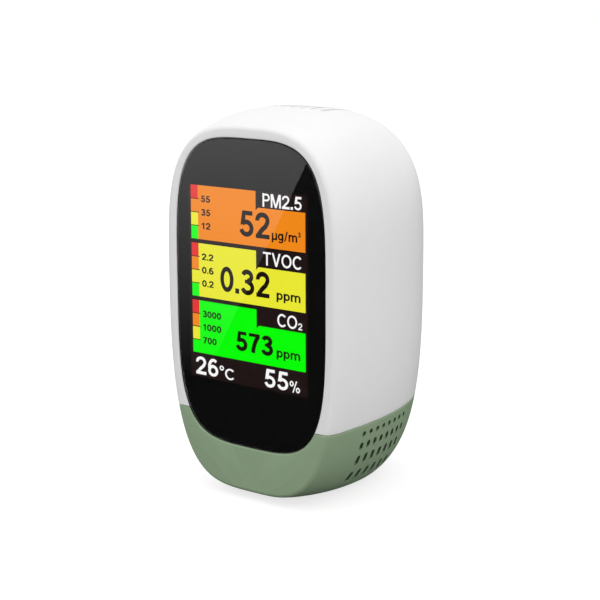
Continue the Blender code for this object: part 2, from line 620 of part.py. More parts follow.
# --- Particle sensor, with its fan ---
def particle_sensor(case_made_of, cover_made_of, rotor_made_of, laser_made_of):
    """A flat case with a fan chamber and a laser channel, its lid, the fan's rotor and the laser."""
    width, thick, tall = PM_SIZE
    back = PM_FRONT + thick - 1.0 * MM - GAP
    low = (-width / 2, at_depth(PM_FRONT), PM_HEIGHT - tall / 2)
    high = (width / 2, at_depth(back), PM_HEIGHT + tall / 2)
    case = box("particle_sensor_case", low, high, case_made_of)
    floor = PM_FRONT + PM_WALL
    bm = bmesh.new()
    chamber = circle(FAN_CENTRE[0], FAN_CENTRE[1], FAN_RADIUS + 0.8 * MM, 20)
    add_prism(bm, chamber, "Y", at_depth(floor), at_depth(back + GAP))
    combine(case, tool("fan chamber", bm), "DIFFERENCE")
    bm = bmesh.new()
    channel_low = (-17.5 * MM, at_depth(floor), 52.0 * MM)
    add_box(bm, channel_low, (-3.5 * MM, at_depth(back + GAP), 63.0 * MM))
    combine(case, tool("laser channel", bm), "DIFFERENCE")
    bm = bmesh.new()
    add_box(bm, (-17.5 * MM, at_depth(floor), 33.0 * MM), (-3.5 * MM, at_depth(back + GAP), 50.5 * MM))
    combine(case, tool("air channel", bm), "DIFFERENCE")
    bm = bmesh.new()
    add_box(bm, (-6.0 * MM, at_depth(floor), 44.0 * MM), (4.0 * MM, at_depth(back - 2 * MM), 49.0 * MM))
    combine(case, tool("air passage", bm), "DIFFERENCE")
    cover_low = (low[0], at_depth(back + GAP), low[2])
    cover_high = (high[0], at_depth(PM_FRONT + thick), high[2])
    cover = box("particle_sensor_cover", cover_low, cover_high, cover_made_of)
    bm = bmesh.new()
    for ring in range(4):
        angle = math.pi / 2 * ring
        x = FAN_CENTRE[0] + 4.6 * MM * math.cos(angle)
        z = FAN_CENTRE[1] + 4.6 * MM * math.sin(angle)
        add_prism(bm, circle(x, z, 2.2 * MM, 10), "Y", at_depth(back - GAP), at_depth(PM_FRONT + thick + GAP))
    add_box(bm, (-15 * MM, at_depth(back), 35 * MM), (-6 * MM, at_depth(PM_FRONT + thick + GAP), 38 * MM))
    combine(cover, tool("cover openings", bm), "DIFFERENCE")
    fan_rotor(floor + 0.6 * MM, rotor_made_of)
    laser_low = (-16.5 * MM, at_depth(floor + 1 * MM), 54.0 * MM)
    box("laser_module", laser_low, (-5 * MM, at_depth(floor + 7 * MM), 60.0 * MM), laser_made_of)


def fan_rotor(front, made_of):
    """The fan's hub and curved blades. Its origin is on the axle."""
    bm = bmesh.new()
    length = 6.5 * MM
    add_prism(bm, circle(0.0, 0.0, 3.4 * MM, 16), "Y", 0.0, length)
    rotor = make_object("particle_fan_rotor", bm, made_of, 40)
    bm = bmesh.new()
    for blade in range(FAN_BLADES):
        base = 2 * math.pi * blade / FAN_BLADES
        sides = []
        for step in range(4):
            radius = 2.8 * MM + (FAN_RADIUS - 2.8 * MM) * step / 3
            angle = base + 0.16 * step
            turn = 0.35 * MM / radius
            sides.append((radius, angle - turn, angle + turn))
        outline = [(r * math.cos(a), r * math.sin(a)) for r, a, _ in sides]
        outline += [(r * math.cos(b), r * math.sin(b)) for r, _, b in reversed(sides)]
        add_prism(bm, outline, "Y", 0.6 * MM, length - 0.4 * MM)
    blades = tool("fan blades", bm)
    combine(rotor, blades, "UNION")
    for piece in (rotor, blades):
        piece.location = (FAN_CENTRE[0], at_depth(front), FAN_CENTRE[1])
    return rotor


# --- Carrier and battery ---
def sensor_carrier(made_of, metal):
    """An upright plate for the particle sensor and the battery, with a foot screwed to the rear bar."""
    bottom = BAR_TOP + GAP
    bm = bmesh.new()
    upright = rounded_rectangle((0.0, (bottom + CARRIER_TOP) / 2), (43.0 * MM, CARRIER_TOP - bottom), 2 * MM)
    add_prism(bm, upright, "Y", at_depth(CARRIER_FRONT), at_depth(CARRIER_FRONT + CARRIER_THICK))
    carrier = make_object("sensor_carrier", bm, made_of, 40)
    bm = bmesh.new()
    foot_back = CARRIER_SCREW_DEPTH + 2.8 * MM
    foot_low = (-21 * MM, at_depth(CARRIER_FRONT + 0.5 * MM), bottom)
    add_box(bm, foot_low, (21 * MM, at_depth(foot_back), bottom + 1.5 * MM))
    combine(carrier, tool("carrier foot", bm), "UNION")
    bm = bmesh.new()
    for x in (-CARRIER_SCREW_SIDE, CARRIER_SCREW_SIDE):
        hole = circle(x, at_depth(CARRIER_SCREW_DEPTH), 1.2 * MM, 8)
        add_prism(bm, hole, "Z", bottom - GAP, bottom + 1.5 * MM + GAP)
    combine(carrier, tool("carrier holes", bm), "DIFFERENCE")
    profile = screw_profile(1.9 * MM, 1.2 * MM, 0.8 * MM, 4.4 * MM)
    for number, x in enumerate((-CARRIER_SCREW_SIDE, CARRIER_SCREW_SIDE), 1):
        place = (x, at_depth(CARRIER_SCREW_DEPTH), bottom + 1.5 * MM + GAP)
        turned(f"carrier_screw_{number}", profile, place, "-Z", metal, 10)


def battery_pack(made_of):
    width, thick, tall = BATTERY_SIZE
    bm = bmesh.new()
    low = (-width / 2, at_depth(BATTERY_FRONT), BATTERY_HEIGHT - tall / 2)
    add_box(bm, low, (width / 2, at_depth(BATTERY_FRONT + thick), BATTERY_HEIGHT + tall / 2))
    pack = make_object("battery_pack", bm, made_of, 40)
    bevel = pack.modifiers.new("soft edges", "BEVEL")
    bevel.width = 1.2 * MM
    bevel.segments = 2
    return pack


# --- Rear board, socket and button ---
def rear_board(made_of, metal):
    middle = (0.0, REAR_BOARD_HEIGHT)
    outline = rounded_rectangle(middle, REAR_BOARD_SIZE, 1.5 * MM, 2)
    board = plate("rear_board", outline, REAR_BOARD_FRONT, REAR_BOARD_THICK, made_of)
    bm = bmesh.new()
    start, end = at_depth(REAR_BOARD_FRONT - GAP), at_depth(REAR_BOARD_FRONT + 2 * REAR_BOARD_THICK)
    for x, z in REAR_SCREWS:
        add_prism(bm, circle(x, z, 1.2 * MM, 8), "Y", start, end)
    combine(board, tool("rear board holes", bm), "DIFFERENCE")
    profile = screw_profile(1.9 * MM, 1.1 * MM, 0.8 * MM, 5.0 * MM)
    for number, (x, z) in enumerate(REAR_SCREWS, 1):
        place = (x, at_depth(REAR_BOARD_FRONT - GAP), z)
        turned(f"rear_board_screw_{number}", profile, place, "Y", metal, 10)


def usb_socket(made_of):
    """The socket's metal shell, with the tongue inside its mouth."""
    start = at_depth(REAR_BOARD_FRONT + REAR_BOARD_THICK + GAP)
    end = at_depth(DEPTH - 0.3 * MM)
    middle = (0.0, USB_HEIGHT)
    bm = bmesh.new()
    add_prism(bm, rounded_rectangle(middle, USB_SHELL, 1.55 * MM), "Y", start, end)
    socket = make_object("usb_c_socket", bm, made_of, 40)
    mouth = (USB_SHELL[0] - 0.6 * MM, USB_SHELL[1] - 0.6 * MM)
    bm = bmesh.new()
    add_prism(bm, rounded_rectangle(middle, mouth, 1.25 * MM), "Y", end - 6.2 * MM, end + 1 * MM)
    combine(socket, tool("socket mouth", bm), "DIFFERENCE")
    bm = bmesh.new()
    tongue_low = (-3.3 * MM, start + 0.5 * MM, USB_HEIGHT - 0.35 * MM)
    add_box(bm, tongue_low, (3.3 * MM, end - 0.7 * MM, USB_HEIGHT + 0.35 * MM))
    combine(socket, tool("socket tongue", bm), "UNION")
    return socket


def power_button_and_switch(cap_made_of, switch_made_of, plunger_made_of):
    """The cap in the rear wall, the switch on the rear board, and the plunger between them."""
    board_back = REAR_BOARD_FRONT + REAR_BOARD_THICK + GAP
    switch_back = board_back + 3.4 * MM
    low = (-3.0 * MM, at_depth(board_back), BUTTON_HEIGHT - 3.0 * MM)
    high = (3.0 * MM, at_depth(switch_back), BUTTON_HEIGHT + 3.0 * MM)
    switch = box("power_switch", low, high, switch_made_of)
    bm = bmesh.new()
    bore = circle(0.0, BUTTON_HEIGHT, 2.0 * MM, 12)
    add_prism(bm, bore, "Y", at_depth(switch_back - 1.8 * MM), at_depth(switch_back + GAP))
    combine(switch, tool("switch bore", bm), "DIFFERENCE")
    plunger = [(1.6 * MM, 0.0), (1.6 * MM, 2.2 * MM), (1.4 * MM, 2.4 * MM)]
    place = (0.0, at_depth(switch_back - 1.0 * MM), BUTTON_HEIGHT)
    turned("switch_plunger", plunger, place, "Y", plunger_made_of, 12)
    cap_start = switch_back + 1.4 * MM + GAP
    cap_length = DEPTH + BUTTON_PROUD - cap_start
    rim = 1.0 * MM
    cap = [
        (2.0 * MM, 0.0), (2.0 * MM, cap_length - 4.0 * MM), (BUTTON_RADIUS + rim, cap_length - 4.0 * MM),
        (BUTTON_RADIUS + rim, cap_length - 3.2 * MM), (BUTTON_RADIUS, cap_length - 3.2 * MM),
        (BUTTON_RADIUS, cap_length - 0.5 * MM), (BUTTON_RADIUS - 0.5 * MM, cap_length),
    ]
    turned("power_button", cap, (0.0, at_depth(cap_start), BUTTON_HEIGHT), "Y", cap_made_of, 20)


# --- Small sensors and cables ---
def climate_sensor(board_made_of, chip_made_of):
    """The temperature and humidity sensor: a small board stood on edge by the vents, and its chip."""
    low = Vector((-20.0 * MM, at_depth(24 * MM), 10.0 * MM))
    high = Vector((-19.0 * MM, at_depth(34 * MM), 22.0 * MM))
    box("climate_sensor_board", low, high, board_made_of)
    middle = (low + high) / 2
    chip_low = (low.x - GAP - 0.9 * MM, middle.y - 1.5 * MM, middle.z - 1.5 * MM)
    chip_high = (low.x - GAP, middle.y + 1.5 * MM, middle.z + 1.5 * MM)
    box("climate_sensor_chip", chip_low, chip_high, chip_made_of)


def curve_point(points, at):
    """A point on the smooth curve through a route's points."""
    spans = len(points) - 1
    index = min(int(at * spans), spans - 1)
    t = at * spans - index
    p1, p2 = points[index], points[index + 1]
    p0 = points[index - 1] if index else p1 * 2 - p2
    p3 = points[index + 2] if index + 2 <= spans else p2 * 2 - p1
    square = 2 * p0 - 5 * p1 + 4 * p2 - p3
    cube = 3 * p1 - p0 - 3 * p2 + p3
    return 0.5 * (2 * p1 + (p2 - p0) * t + square * t**2 + cube * t**3)


def lead(name, route, radius, made_of, count=16):
    """A sleeved cable along a smooth route of (x, depth, height) points in millimetres."""
    points = [Vector((x * MM, at_depth(depth * MM), height * MM)) for x, depth, height in route]
    curve = bpy.data.curves.new(name, "CURVE")
    curve.dimensions = "3D"
    curve.bevel_depth = radius
    curve.bevel_resolution = 2
    curve.use_fill_caps = True
    spline = curve.splines.new("POLY")
    spline.points.add(count - 1)
    for index, point in enumerate(spline.points):
        point.co = (*curve_point(points, index / (count - 1)), 1.0)
    curve.materials.append(made_of)
    obj = bpy.data.objects.new(name, curve)
    bpy.context.scene.collection.objects.link(obj)
    return obj


def cables(made_of):
    """Sleeved leads from the battery, the particle sensor and the rear board to the main board."""
    to_battery = ((13, 27.6, 100), (14, 25, 100), (15.5, 21, 97), (15.5, 18, 93), (15.5, 13.2, 92))
    lead("battery_cable", to_battery, 0.8 * MM, made_of)
    to_sensor = ((14, 23.6, 36), (14, 21, 36), (14, 18, 38), (14, 15, 41), (14, 13.2, 42))
    lead("particle_sensor_cable", to_sensor, 0.9 * MM, made_of)
    rear_end = ((10, 51.2, 61), (12, 49, 64), (21, 47, 68), (25.5, 40, 70))
    board_end = ((25.5, 30, 68), (23.5, 20, 62), (16, 17, 60), (14, 13.8, 59))
    lead("rear_board_cable", rear_end + board_end, 0.9 * MM, made_of, 26)


def build():
    clear_scene()
    zinc = material("zinc_steel", (0.62, 0.62, 0.64), 0.32, 1.0)
    white = material("white_plastic", (0.86, 0.86, 0.85), 0.38)
    green = material("sage_green_plastic", (0.29, 0.42, 0.265), 0.42)
    glass = material("black_bordered_glass", (0.01, 0.01, 0.01), 0.05)
    adhesive = material("black_adhesive", (0.02, 0.02, 0.02), 0.7)
    panel = material("display_surface", (0.03, 0.02, 0.02), 0.15)
    backlight = material("white_diffuser", (0.8, 0.8, 0.8), 0.6)
    sheet = material("pressed_steel", (0.55, 0.56, 0.58), 0.35, 1.0)
    board = material("green_circuit_board", (0.02, 0.16, 0.07), 0.45)
    brass = material("brass", (0.72, 0.52, 0.2), 0.3, 1.0)
    gold = material("gilded_metal", (0.83, 0.62, 0.22), 0.25, 1.0)
    membrane = material("filter_membrane", (0.85, 0.85, 0.82), 0.9)
    black = material("black_plastic", (0.02, 0.02, 0.022), 0.5)
    polyimide = material("amber_film", (0.45, 0.2, 0.03), 0.35)
    foil = material("battery_foil", (0.25, 0.35, 0.55), 0.4)
    rubber = material("black_rubber", (0.025, 0.025, 0.025), 0.85)
    sleeve = material("cable_sleeve", (0.05, 0.05, 0.055), 0.6)
    upper_housing(white)
    base_shell(green)
    fasteners_of_base(zinc, rubber)
    front_glass(glass)
    glass_gasket(adhesive)
    display_pieces(panel, backlight)
    display_bracket(sheet, zinc)
    flat_cable(polyimide)
    main_board(board)
    board_fixings(brass, zinc)
    chip("processor_chip", (1 * MM, 53 * MM), (10 * MM, 1.2 * MM, 10 * MM), black)
    chip("voc_sensor", (0.0, 96 * MM), (6 * MM, 1.6 * MM, 5 * MM), zinc)
    buzzer(black)
    co2_sensor(gold, membrane)
    particle_sensor(black, sheet, black, brass)
    sensor_carrier(white, zinc)
    battery_pack(foil)
    rear_board(board, zinc)
    usb_socket(zinc)
    power_button_and_switch(white, black, black)
    climate_sensor(board, black)
    cables(sleeve)


build()
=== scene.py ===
"""Looks of a desktop air quality monitor, built around its CAD frame. Metres, +Z up, display facing -Y."""

import math

import bmesh
import bpy
from mathutils import Matrix, Vector


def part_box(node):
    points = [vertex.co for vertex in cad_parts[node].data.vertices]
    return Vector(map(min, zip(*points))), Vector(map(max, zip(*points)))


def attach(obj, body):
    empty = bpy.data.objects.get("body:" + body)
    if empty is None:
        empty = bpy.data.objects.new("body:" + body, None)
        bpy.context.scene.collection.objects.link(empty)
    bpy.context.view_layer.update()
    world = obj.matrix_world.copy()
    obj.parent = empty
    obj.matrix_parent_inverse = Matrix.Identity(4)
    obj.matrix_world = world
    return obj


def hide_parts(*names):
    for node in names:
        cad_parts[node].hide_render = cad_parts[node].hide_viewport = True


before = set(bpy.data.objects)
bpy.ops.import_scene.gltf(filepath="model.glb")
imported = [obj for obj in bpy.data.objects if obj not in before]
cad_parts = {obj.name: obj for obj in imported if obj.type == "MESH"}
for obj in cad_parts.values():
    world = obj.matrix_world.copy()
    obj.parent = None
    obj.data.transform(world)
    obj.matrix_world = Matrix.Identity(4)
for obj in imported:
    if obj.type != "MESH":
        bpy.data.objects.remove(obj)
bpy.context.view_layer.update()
MM = 0.001

# --- Mesh making ---
SMOOTH_ANGLE = 35  # degrees: sharper edges stay sharp
LEVEL = 0.99999  # how far along an axis the normal of a level face lies
LARGE_FACE = 10 * MM**2
TINY = 1e-7
RING_POINTS = 176
CAVITY_POINTS = 88
LATHE_SIDES = 64
ROLL_STEPS = 5

# --- Body outline, as in the CAD ---
DEPTH = 62.5 * MM
BUTTON_PROUD = 0.7 * MM
HALF_WIDTH = 32.7 * MM
WIDEST_HEIGHT = 67.4 * MM
RISE = 47.25 * MM
DROP = 68.65 * MM
UNDERSIDE = 0.8 * MM
SEAM_HEIGHT = 24.7 * MM
UPPER_POWERS = (3.10, 3.26)
LOWER_POWERS = (3.53, 2.92)
EDGE_RADIUS = 0.9 * MM
BACK_EDGE_RADIUS = 3.0 * MM
BACK_EDGE_TURN = math.radians(46)
DOME_APEX = 66.0 * MM
FRONT_TAPER = ((1.5 * MM, 5.0 * MM), (4.5 * MM, 22.0 * MM), (3.8 * MM, 34.0 * MM))
BACK_DOME = ((24.0 * MM, 53.7 * MM), (30.7 * MM, 42.1 * MM), (23.3 * MM, 33.0 * MM))
WALL = 2.0 * MM
WALL_GROWTH = 0.6  # how much thicker, as a share, the wall is at the back
GAP = 0.3 * MM
CAVITY_DEPTHS = (3.8, 8.0, 14.0, 20.0, 26.0, 32.0, 37.0, 42.0, 46.0, 50.0, 53.0, 56.0, 59.2)
CAVITY_END_SHARE = 0.9
SEAM_GAP = 0.10 * MM
SEAM_ROLL = 0.30 * MM
UNDERSIDE_ROLL = 0.6 * MM

# --- Glass and display ---
GLASS_HEIGHT = 65.2 * MM
GLASS_HALF_WIDTH = 27.8 * MM
GLASS_RISE = 41.6 * MM
GLASS_DROP = 49.1 * MM
GLASS_UPPER_POWERS = (3.68, 3.75)
GLASS_LOWER_POWERS = (3.76, 4.18)
GLASS_CLEARANCE = 0.15 * MM
# (how far the outline grows, depth), in millimetres: the polished edge from front to back
GLASS_PROFILE = ((-0.30, 0.05), (-0.13, 0.09), (-0.04, 0.17), (0.0, 0.32), (0.0, 1.03), (-0.12, 1.15))
POCKET_DEPTH = 2.0 * MM
POCKET_ROLL = 0.35 * MM
DISPLAY_MIDDLE = (-0.3 * MM, 62.2 * MM)
WINDOW_SIZE = (47.6 * MM, 64.6 * MM)
WINDOW_CORNER = 1.5 * MM
WINDOW_BACK = 4.4 * MM
MASK_FRONT = 1.17 * MM
MASK_THICK = 0.06 * MM
MASK_MARGIN = 0.9 * MM
MASK_WINDOW_HEIGHT = 57.9 * MM
MASK_WINDOW_MIDDLE = 63.45 * MM
BLOCKS_FRONT = 1.31 * MM
FIGURES_FRONT = 1.26 * MM
PRINT_THICK = 0.04 * MM
SIDE_SHIFT = -0.62 * MM  # the glass bends the view, so what lies behind it looks this much further right
READOUT_LEFT = -21.85 * MM
READOUT_RIGHT = 20.95 * MM
READOUT_TOP = 92.2 * MM
BLOCK_HEIGHT = 15.95 * MM
BLOCK_PITCH = 17.18 * MM
NOTCH_LEFT = 2.95 * MM
NOTCH_HEIGHT = 4.70 * MM
NOTCH_CUT = 0.9 * MM
BAR_WIDTH = 2.75 * MM
TICK_PAST_BAR = 0.35 * MM
TICK_HALF = 0.13 * MM
PIXEL = 0.18  # millimetres

# --- Details ---
BASE_SCREW_DEPTHS = (13.5 * MM, 43.0 * MM)
BASE_SCREWS = [(side * 11.0 * MM, depth) for depth in BASE_SCREW_DEPTHS for side in (-1, 1)]
BAR_TOP = 29.2 * MM
BAR_HALF = 3.0 * MM
TOWER_RADIUS = 3.6 * MM
WELL_RADIUS = 2.5 * MM
BASE_HOLE_RADIUS = 1.3 * MM
HEAD_SEAT = 16.4 * MM
LIP_THICK = 1.6 * MM
LIP_FRONT = 3.8 * MM
LIP_BACK_MARGIN = 0.6 * MM
LIP_LAST_DEPTH = 59 * MM
FEET = ((-10.0 * MM, 21.5 * MM), (10.0 * MM, 21.5 * MM), (-9.0 * MM, 35.0 * MM), (9.0 * MM, 35.0 * MM))
FOOT_RADIUS = 3.0 * MM
FOOT_TOP = 1.5 * MM
VENT_RADIUS = 0.85 * MM
# (height, depth of the first hole, pitch, holes, how tall each hole is), in millimetres
VENT_ROWS = (
    (21.75, 16.8, 3.52, 8, 1.7),
    (17.8, 16.9, 3.52, 8, 2.4),
    (13.1, 17.4, 3.8, 7, 3.2),
    (7.4, 17.7, 4.05, 6, 3.5),
)
VENT_SIDES = 28
VENT_CUT_MIDDLE = 26 * MM
VENT_CUT_LENGTH = 20 * MM
SLOT_COUNT = 7
SLOT_PITCH = 3.75 * MM
SLOT_SIZE = (1.6 * MM, 21.0 * MM)
SLOT_DEPTH = 30.2 * MM
USB_HEIGHT = 40.0 * MM
USB_SHELL = (8.94 * MM, 3.2 * MM)
USB_CORNER = 1.85 * MM
MOUTH_CHAMFER = 0.35 * MM
BUTTON_HEIGHT = 58.5 * MM
BUTTON_RADIUS = 3.4 * MM
BUTTON_FLANGE = 1.0 * MM
BUTTON_SHAFT = 3.2 * MM
SYMBOL_RADIUS = 1.15
SYMBOL_STROKE = 0.28
BRACKET_FRONT = 5.0 * MM
BRACKET_BOSS_RADIUS = 1.9 * MM
BRACKET_BOSS_FRONT = 3.0 * MM
BRACKET_HOLE_RADIUS = 1.0 * MM
BRACKET_HOLE_FRONT = 2.6 * MM
BRACKET_SCREWS = [(side * 27.3 * MM, height) for height in (84.0 * MM, 44.0 * MM) for side in (-1, 1)]
REAR_SCREWS = ((-10.0 * MM, 49.5 * MM), (10.0 * MM, 49.5 * MM))
REAR_BOSS_FRONT = 54.1 * MM
REAR_BOSS_RADIUS = 2.2 * MM
REAR_HOLE_BACK = DEPTH - 3.5 * MM
SMALL_HOLE_RADIUS = 1.1 * MM
CARRIER_SCREW_SIDE = 17.5 * MM
CARRIER_HOLE_DEEP = 3.2 * MM

# --- Colours, linear ---
WHITE = (0.885, 0.885, 0.883)
GREEN = (0.290, 0.402, 0.254)
# painted shade: a darker green for the walls inside the vents, where a deep hole would be in shadow
VENT_SHADE_GREEN = (0.085, 0.125, 0.073)
RUBBER = (0.03, 0.03, 0.03)
INK = (0.003, 0.003, 0.003)

# --- Camera and studio ---
CAMERA_PLACE = Vector((0.2934, -0.3759, 0.1524))
CAMERA_TURN = math.radians(38.55)
CAMERA_DOWN = math.radians(11.5)
CAMERA_ROLL = math.radians(-0.22)
CAMERA_LENS = 96.06
SENSOR_WIDTH = 36.0
CLIP_START = 0.01
# name, place, aim, size and power
LIGHTS = (
    ("upper_right", (0.9, -0.1, 1.0), (0, 0, 0.07), 0.8, 0.2),
    ("right", (1.15, -0.25, 0.12), (0, 0, 0.05), 0.6, 3.2),
    ("front", (-0.5, -1.2, 0.5), (0, 0, 0.06), 0.7, 2.6),
)
FLOOR_REACH = 4.0
FLOOR_TONE = 0.42
FLOOR_GLOW = 1.70
BOUNCE_TONE = 0.12
REFLECTED_TONE = 0.16
GLOW_CARD_Y = -0.070
GLOW_CORNERS = ((-40, 36), (-16.5, 36), (27, 111), (-40, 111))  # (x, z) in millimetres, as seen in the glass
GLOW_TOP = 1.55
GLOW_LOW = 0.12
GLOW_FALL = 1.45


# --- Mesh helpers ---
def at_depth(depth):
    """World Y of a point this far back from the front face."""
    return depth - (DEPTH + BUTTON_PROUD) / 2


def make_object(name, bm):
    bmesh.ops.recalc_face_normals(bm, faces=bm.faces)
    mesh = bpy.data.meshes.new(name)
    bm.to_mesh(mesh)
    bm.free()
    obj = bpy.data.objects.new(name, mesh)
    bpy.context.scene.collection.objects.link(obj)
    smooth(obj)
    return obj


def smooth(obj):
    """Smooth shading, with the large level faces left truly flat."""
    obj.data.shade_smooth()
    obj.data.set_sharp_from_angle(angle=math.radians(SMOOTH_ANGLE))
    for face in obj.data.polygons:
        if max(abs(face.normal.y), abs(face.normal.z)) > LEVEL and face.area > LARGE_FACE:
            face.use_smooth = False


def add_loft(bm, rings):
    """A closed skin through rings of equal count, with a flat cap on each end."""
    loops = [[bm.verts.new(point) for point in points] for points in rings]
    count = len(loops[0])
    for first, second in zip(loops, loops[1:]):
        for i in range(count):
            j = (i + 1) % count
            bm.faces.new((first[i], first[j], second[j], second[i]))
    bm.faces.new(loops[0])
    bm.faces.new(loops[-1])


def add_prism(bm, outline, axis, start, end):
    """A straight extrusion along Y or Z of an outline given as (x, other) points."""
    if axis == "Y":
        rings = [[Vector((x, level, other)) for x, other in outline] for level in (start, end)]
    else:
        rings = [[Vector((x, other, level)) for x, other in outline] for level in (start, end)]
    add_loft(bm, rings)


def add_box(bm, low, high):
    matrix = Matrix.Translation((Vector(low) + Vector(high)) / 2)
    size = Vector(high) - Vector(low)
    bmesh.ops.create_cube(bm, size=1.0, matrix=matrix @ Matrix.Diagonal((*size, 1.0)))


def add_band(bm, outer, inner, low, high):
    """A closed wall between two outlines of equal count."""
    corners = ((outer, low), (outer, high), (inner, high), (inner, low))
    loops = [[bm.verts.new((x, y, level)) for x, y in outline] for outline, level in corners]
    count = len(outer)
    for k in range(4):
        first, second = loops[k], loops[(k + 1) % 4]
        for i in range(count):
            j = (i + 1) % count
            bm.faces.new((first[i], first[j], second[j], second[i]))


def circle(x, other, radius, sides):
    turn = 2 * math.pi / sides
    return [(x + radius * math.cos(i * turn), other + radius * math.sin(i * turn)) for i in range(sides)]


def rounded_rectangle(centre, size, radius, steps=6):
    points = []
    for corner in range(4):
        sign_x = 1 if corner in (0, 3) else -1
        sign_z = 1 if corner in (0, 1) else -1
        middle_x = centre[0] + sign_x * (size[0] / 2 - radius)
        middle_z = centre[1] + sign_z * (size[1] / 2 - radius)
        for step in range(steps + 1):
            angle = math.pi / 2 * (corner + step / steps)
            points.append((middle_x + radius * math.cos(angle), middle_z + radius * math.sin(angle)))
    return points


def lathe(name, profile, place, axis="Z"):
    """A turned piece from (radius, along) points, from one end to the other."""
    bm = bmesh.new()
    rings = []
    for radius, along in profile:
        rings.append([Vector((x, y, along)) for x, y in circle(0, 0, radius, LATHE_SIDES)])
    add_loft(bm, rings)
    if axis == "Y":
        bm.transform(Matrix.Rotation(-math.pi / 2, 4, "X"))
    bm.transform(Matrix.Translation(place))
    return make_object(name, bm)


def split_polygons(mesh):
    """Triangles in place of many-sided faces, which a Boolean would otherwise have to cut holes in."""
    bm = bmesh.new()
    bm.from_mesh(mesh)
    bmesh.ops.triangulate(bm, faces=[face for face in bm.faces if len(face.verts) > 4])
    bm.to_mesh(mesh)
    bm.free()


def combine(target, tools, operation="DIFFERENCE"):
    """A Boolean with one mesh of tools, written into the target's own mesh."""
    split_polygons(target.data)
    other = make_object("tool", tools)
    modifier = target.modifiers.new("combine", "BOOLEAN")
    modifier.operation = operation
    modifier.solver = "MANIFOLD"
    modifier.object = other
    evaluated = target.evaluated_get(bpy.context.evaluated_depsgraph_get())
    made = bpy.data.meshes.new_from_object(evaluated)
    target.modifiers.clear()
    old = target.data
    target.data = made
    bpy.data.meshes.remove(old)
    bpy.data.objects.remove(other, do_unlink=True)


# --- Body geometry ---
def half_sizes(depth):
    """Half-width, rise and drop of the body's outline at a depth."""
    sizes = []
    edge = 0.0
    if depth < EDGE_RADIUS:
        edge = EDGE_RADIUS - math.sqrt(EDGE_RADIUS**2 - (EDGE_RADIUS - depth) ** 2)
    full_sizes = (HALF_WIDTH, RISE, DROP)
    for full, (front, front_length), (back, back_length) in zip(full_sizes, FRONT_TAPER, BACK_DOME):
        ahead = max(0.0, 1 - depth / front_length)
        behind = max(0.0, (depth - DOME_APEX + back_length) / back_length)
        sizes.append(full - edge - front * ahead**2 - back * (1 - math.sqrt(1 - behind**2)))
    return sizes


def superellipse(half_width, rise, drop, upper, lower, count):
    points = []
    for step in range(count):
        angle = 2 * math.pi * step / count
        across, up = math.cos(angle), math.sin(angle)
        height, powers = (rise, upper) if up >= 0 else (drop, lower)
        x = math.copysign(half_width * abs(across) ** (2 / powers[0]), across)
        z = math.copysign(height * abs(up) ** (2 / powers[1]), up)
        points.append((x, z))
    return points


def body_ring(depth, inset, sizes=None, count=RING_POINTS):
    half_width, rise, drop = sizes or half_sizes(depth)
    drawn_in = (half_width - inset, rise - inset, drop - inset)
    outline = superellipse(*drawn_in, UPPER_POWERS, LOWER_POWERS, count)
    floor = UNDERSIDE + inset if inset else -1.0
    return [Vector((x, at_depth(depth), max(floor, WIDEST_HEIGHT + z))) for x, z in outline]


def side_at(depth, height, inset):
    half_width, rise, drop = half_sizes(depth)
    up = height - WIDEST_HEIGHT
    reach, powers = (rise, UPPER_POWERS) if up >= 0 else (drop, LOWER_POWERS)
    return half_width * (1 - min(1.0, abs(up) / reach) ** powers[1]) ** (1 / powers[0]) - inset


def outer_rings():
    """Rings of the outside: the round front edge, the tapering body, and the round edge of the back."""
    steps = 8
    rings = []
    for step in range(steps):
        rings.append(body_ring(EDGE_RADIUS * (1 - math.cos(math.pi / 2 * step / steps)), 0.0))
    arc_centre = DEPTH - BACK_EDGE_RADIUS
    arc_start = arc_centre + BACK_EDGE_RADIUS * math.sin(BACK_EDGE_TURN)
    spans = 46
    for step in range(spans + 1):
        rings.append(body_ring(EDGE_RADIUS + (arc_start - EDGE_RADIUS) * step / spans, 0.0))
    for step in range(1, steps + 1):
        turn = BACK_EDGE_TURN + (math.pi / 2 - BACK_EDGE_TURN) * step / steps
        drawn_in = BACK_EDGE_RADIUS * (math.cos(BACK_EDGE_TURN) - math.cos(turn))
        sizes = [size - drawn_in for size in half_sizes(arc_start)]
        rings.append(body_ring(arc_centre + BACK_EDGE_RADIUS * math.sin(turn), 0.0, sizes))
    return rings


def cavity_rings():
    rings = []
    for depth in CAVITY_DEPTHS:
        inset = WALL * (1 + WALL_GROWTH * (depth * MM / DEPTH) ** 2)
        rings.append(body_ring(depth * MM, inset, count=CAVITY_POINTS))
    last = rings[-1]
    rings.append([Vector((p.x * CAVITY_END_SHARE, at_depth(DEPTH - WALL), p.z)) for p in last])
    return rings


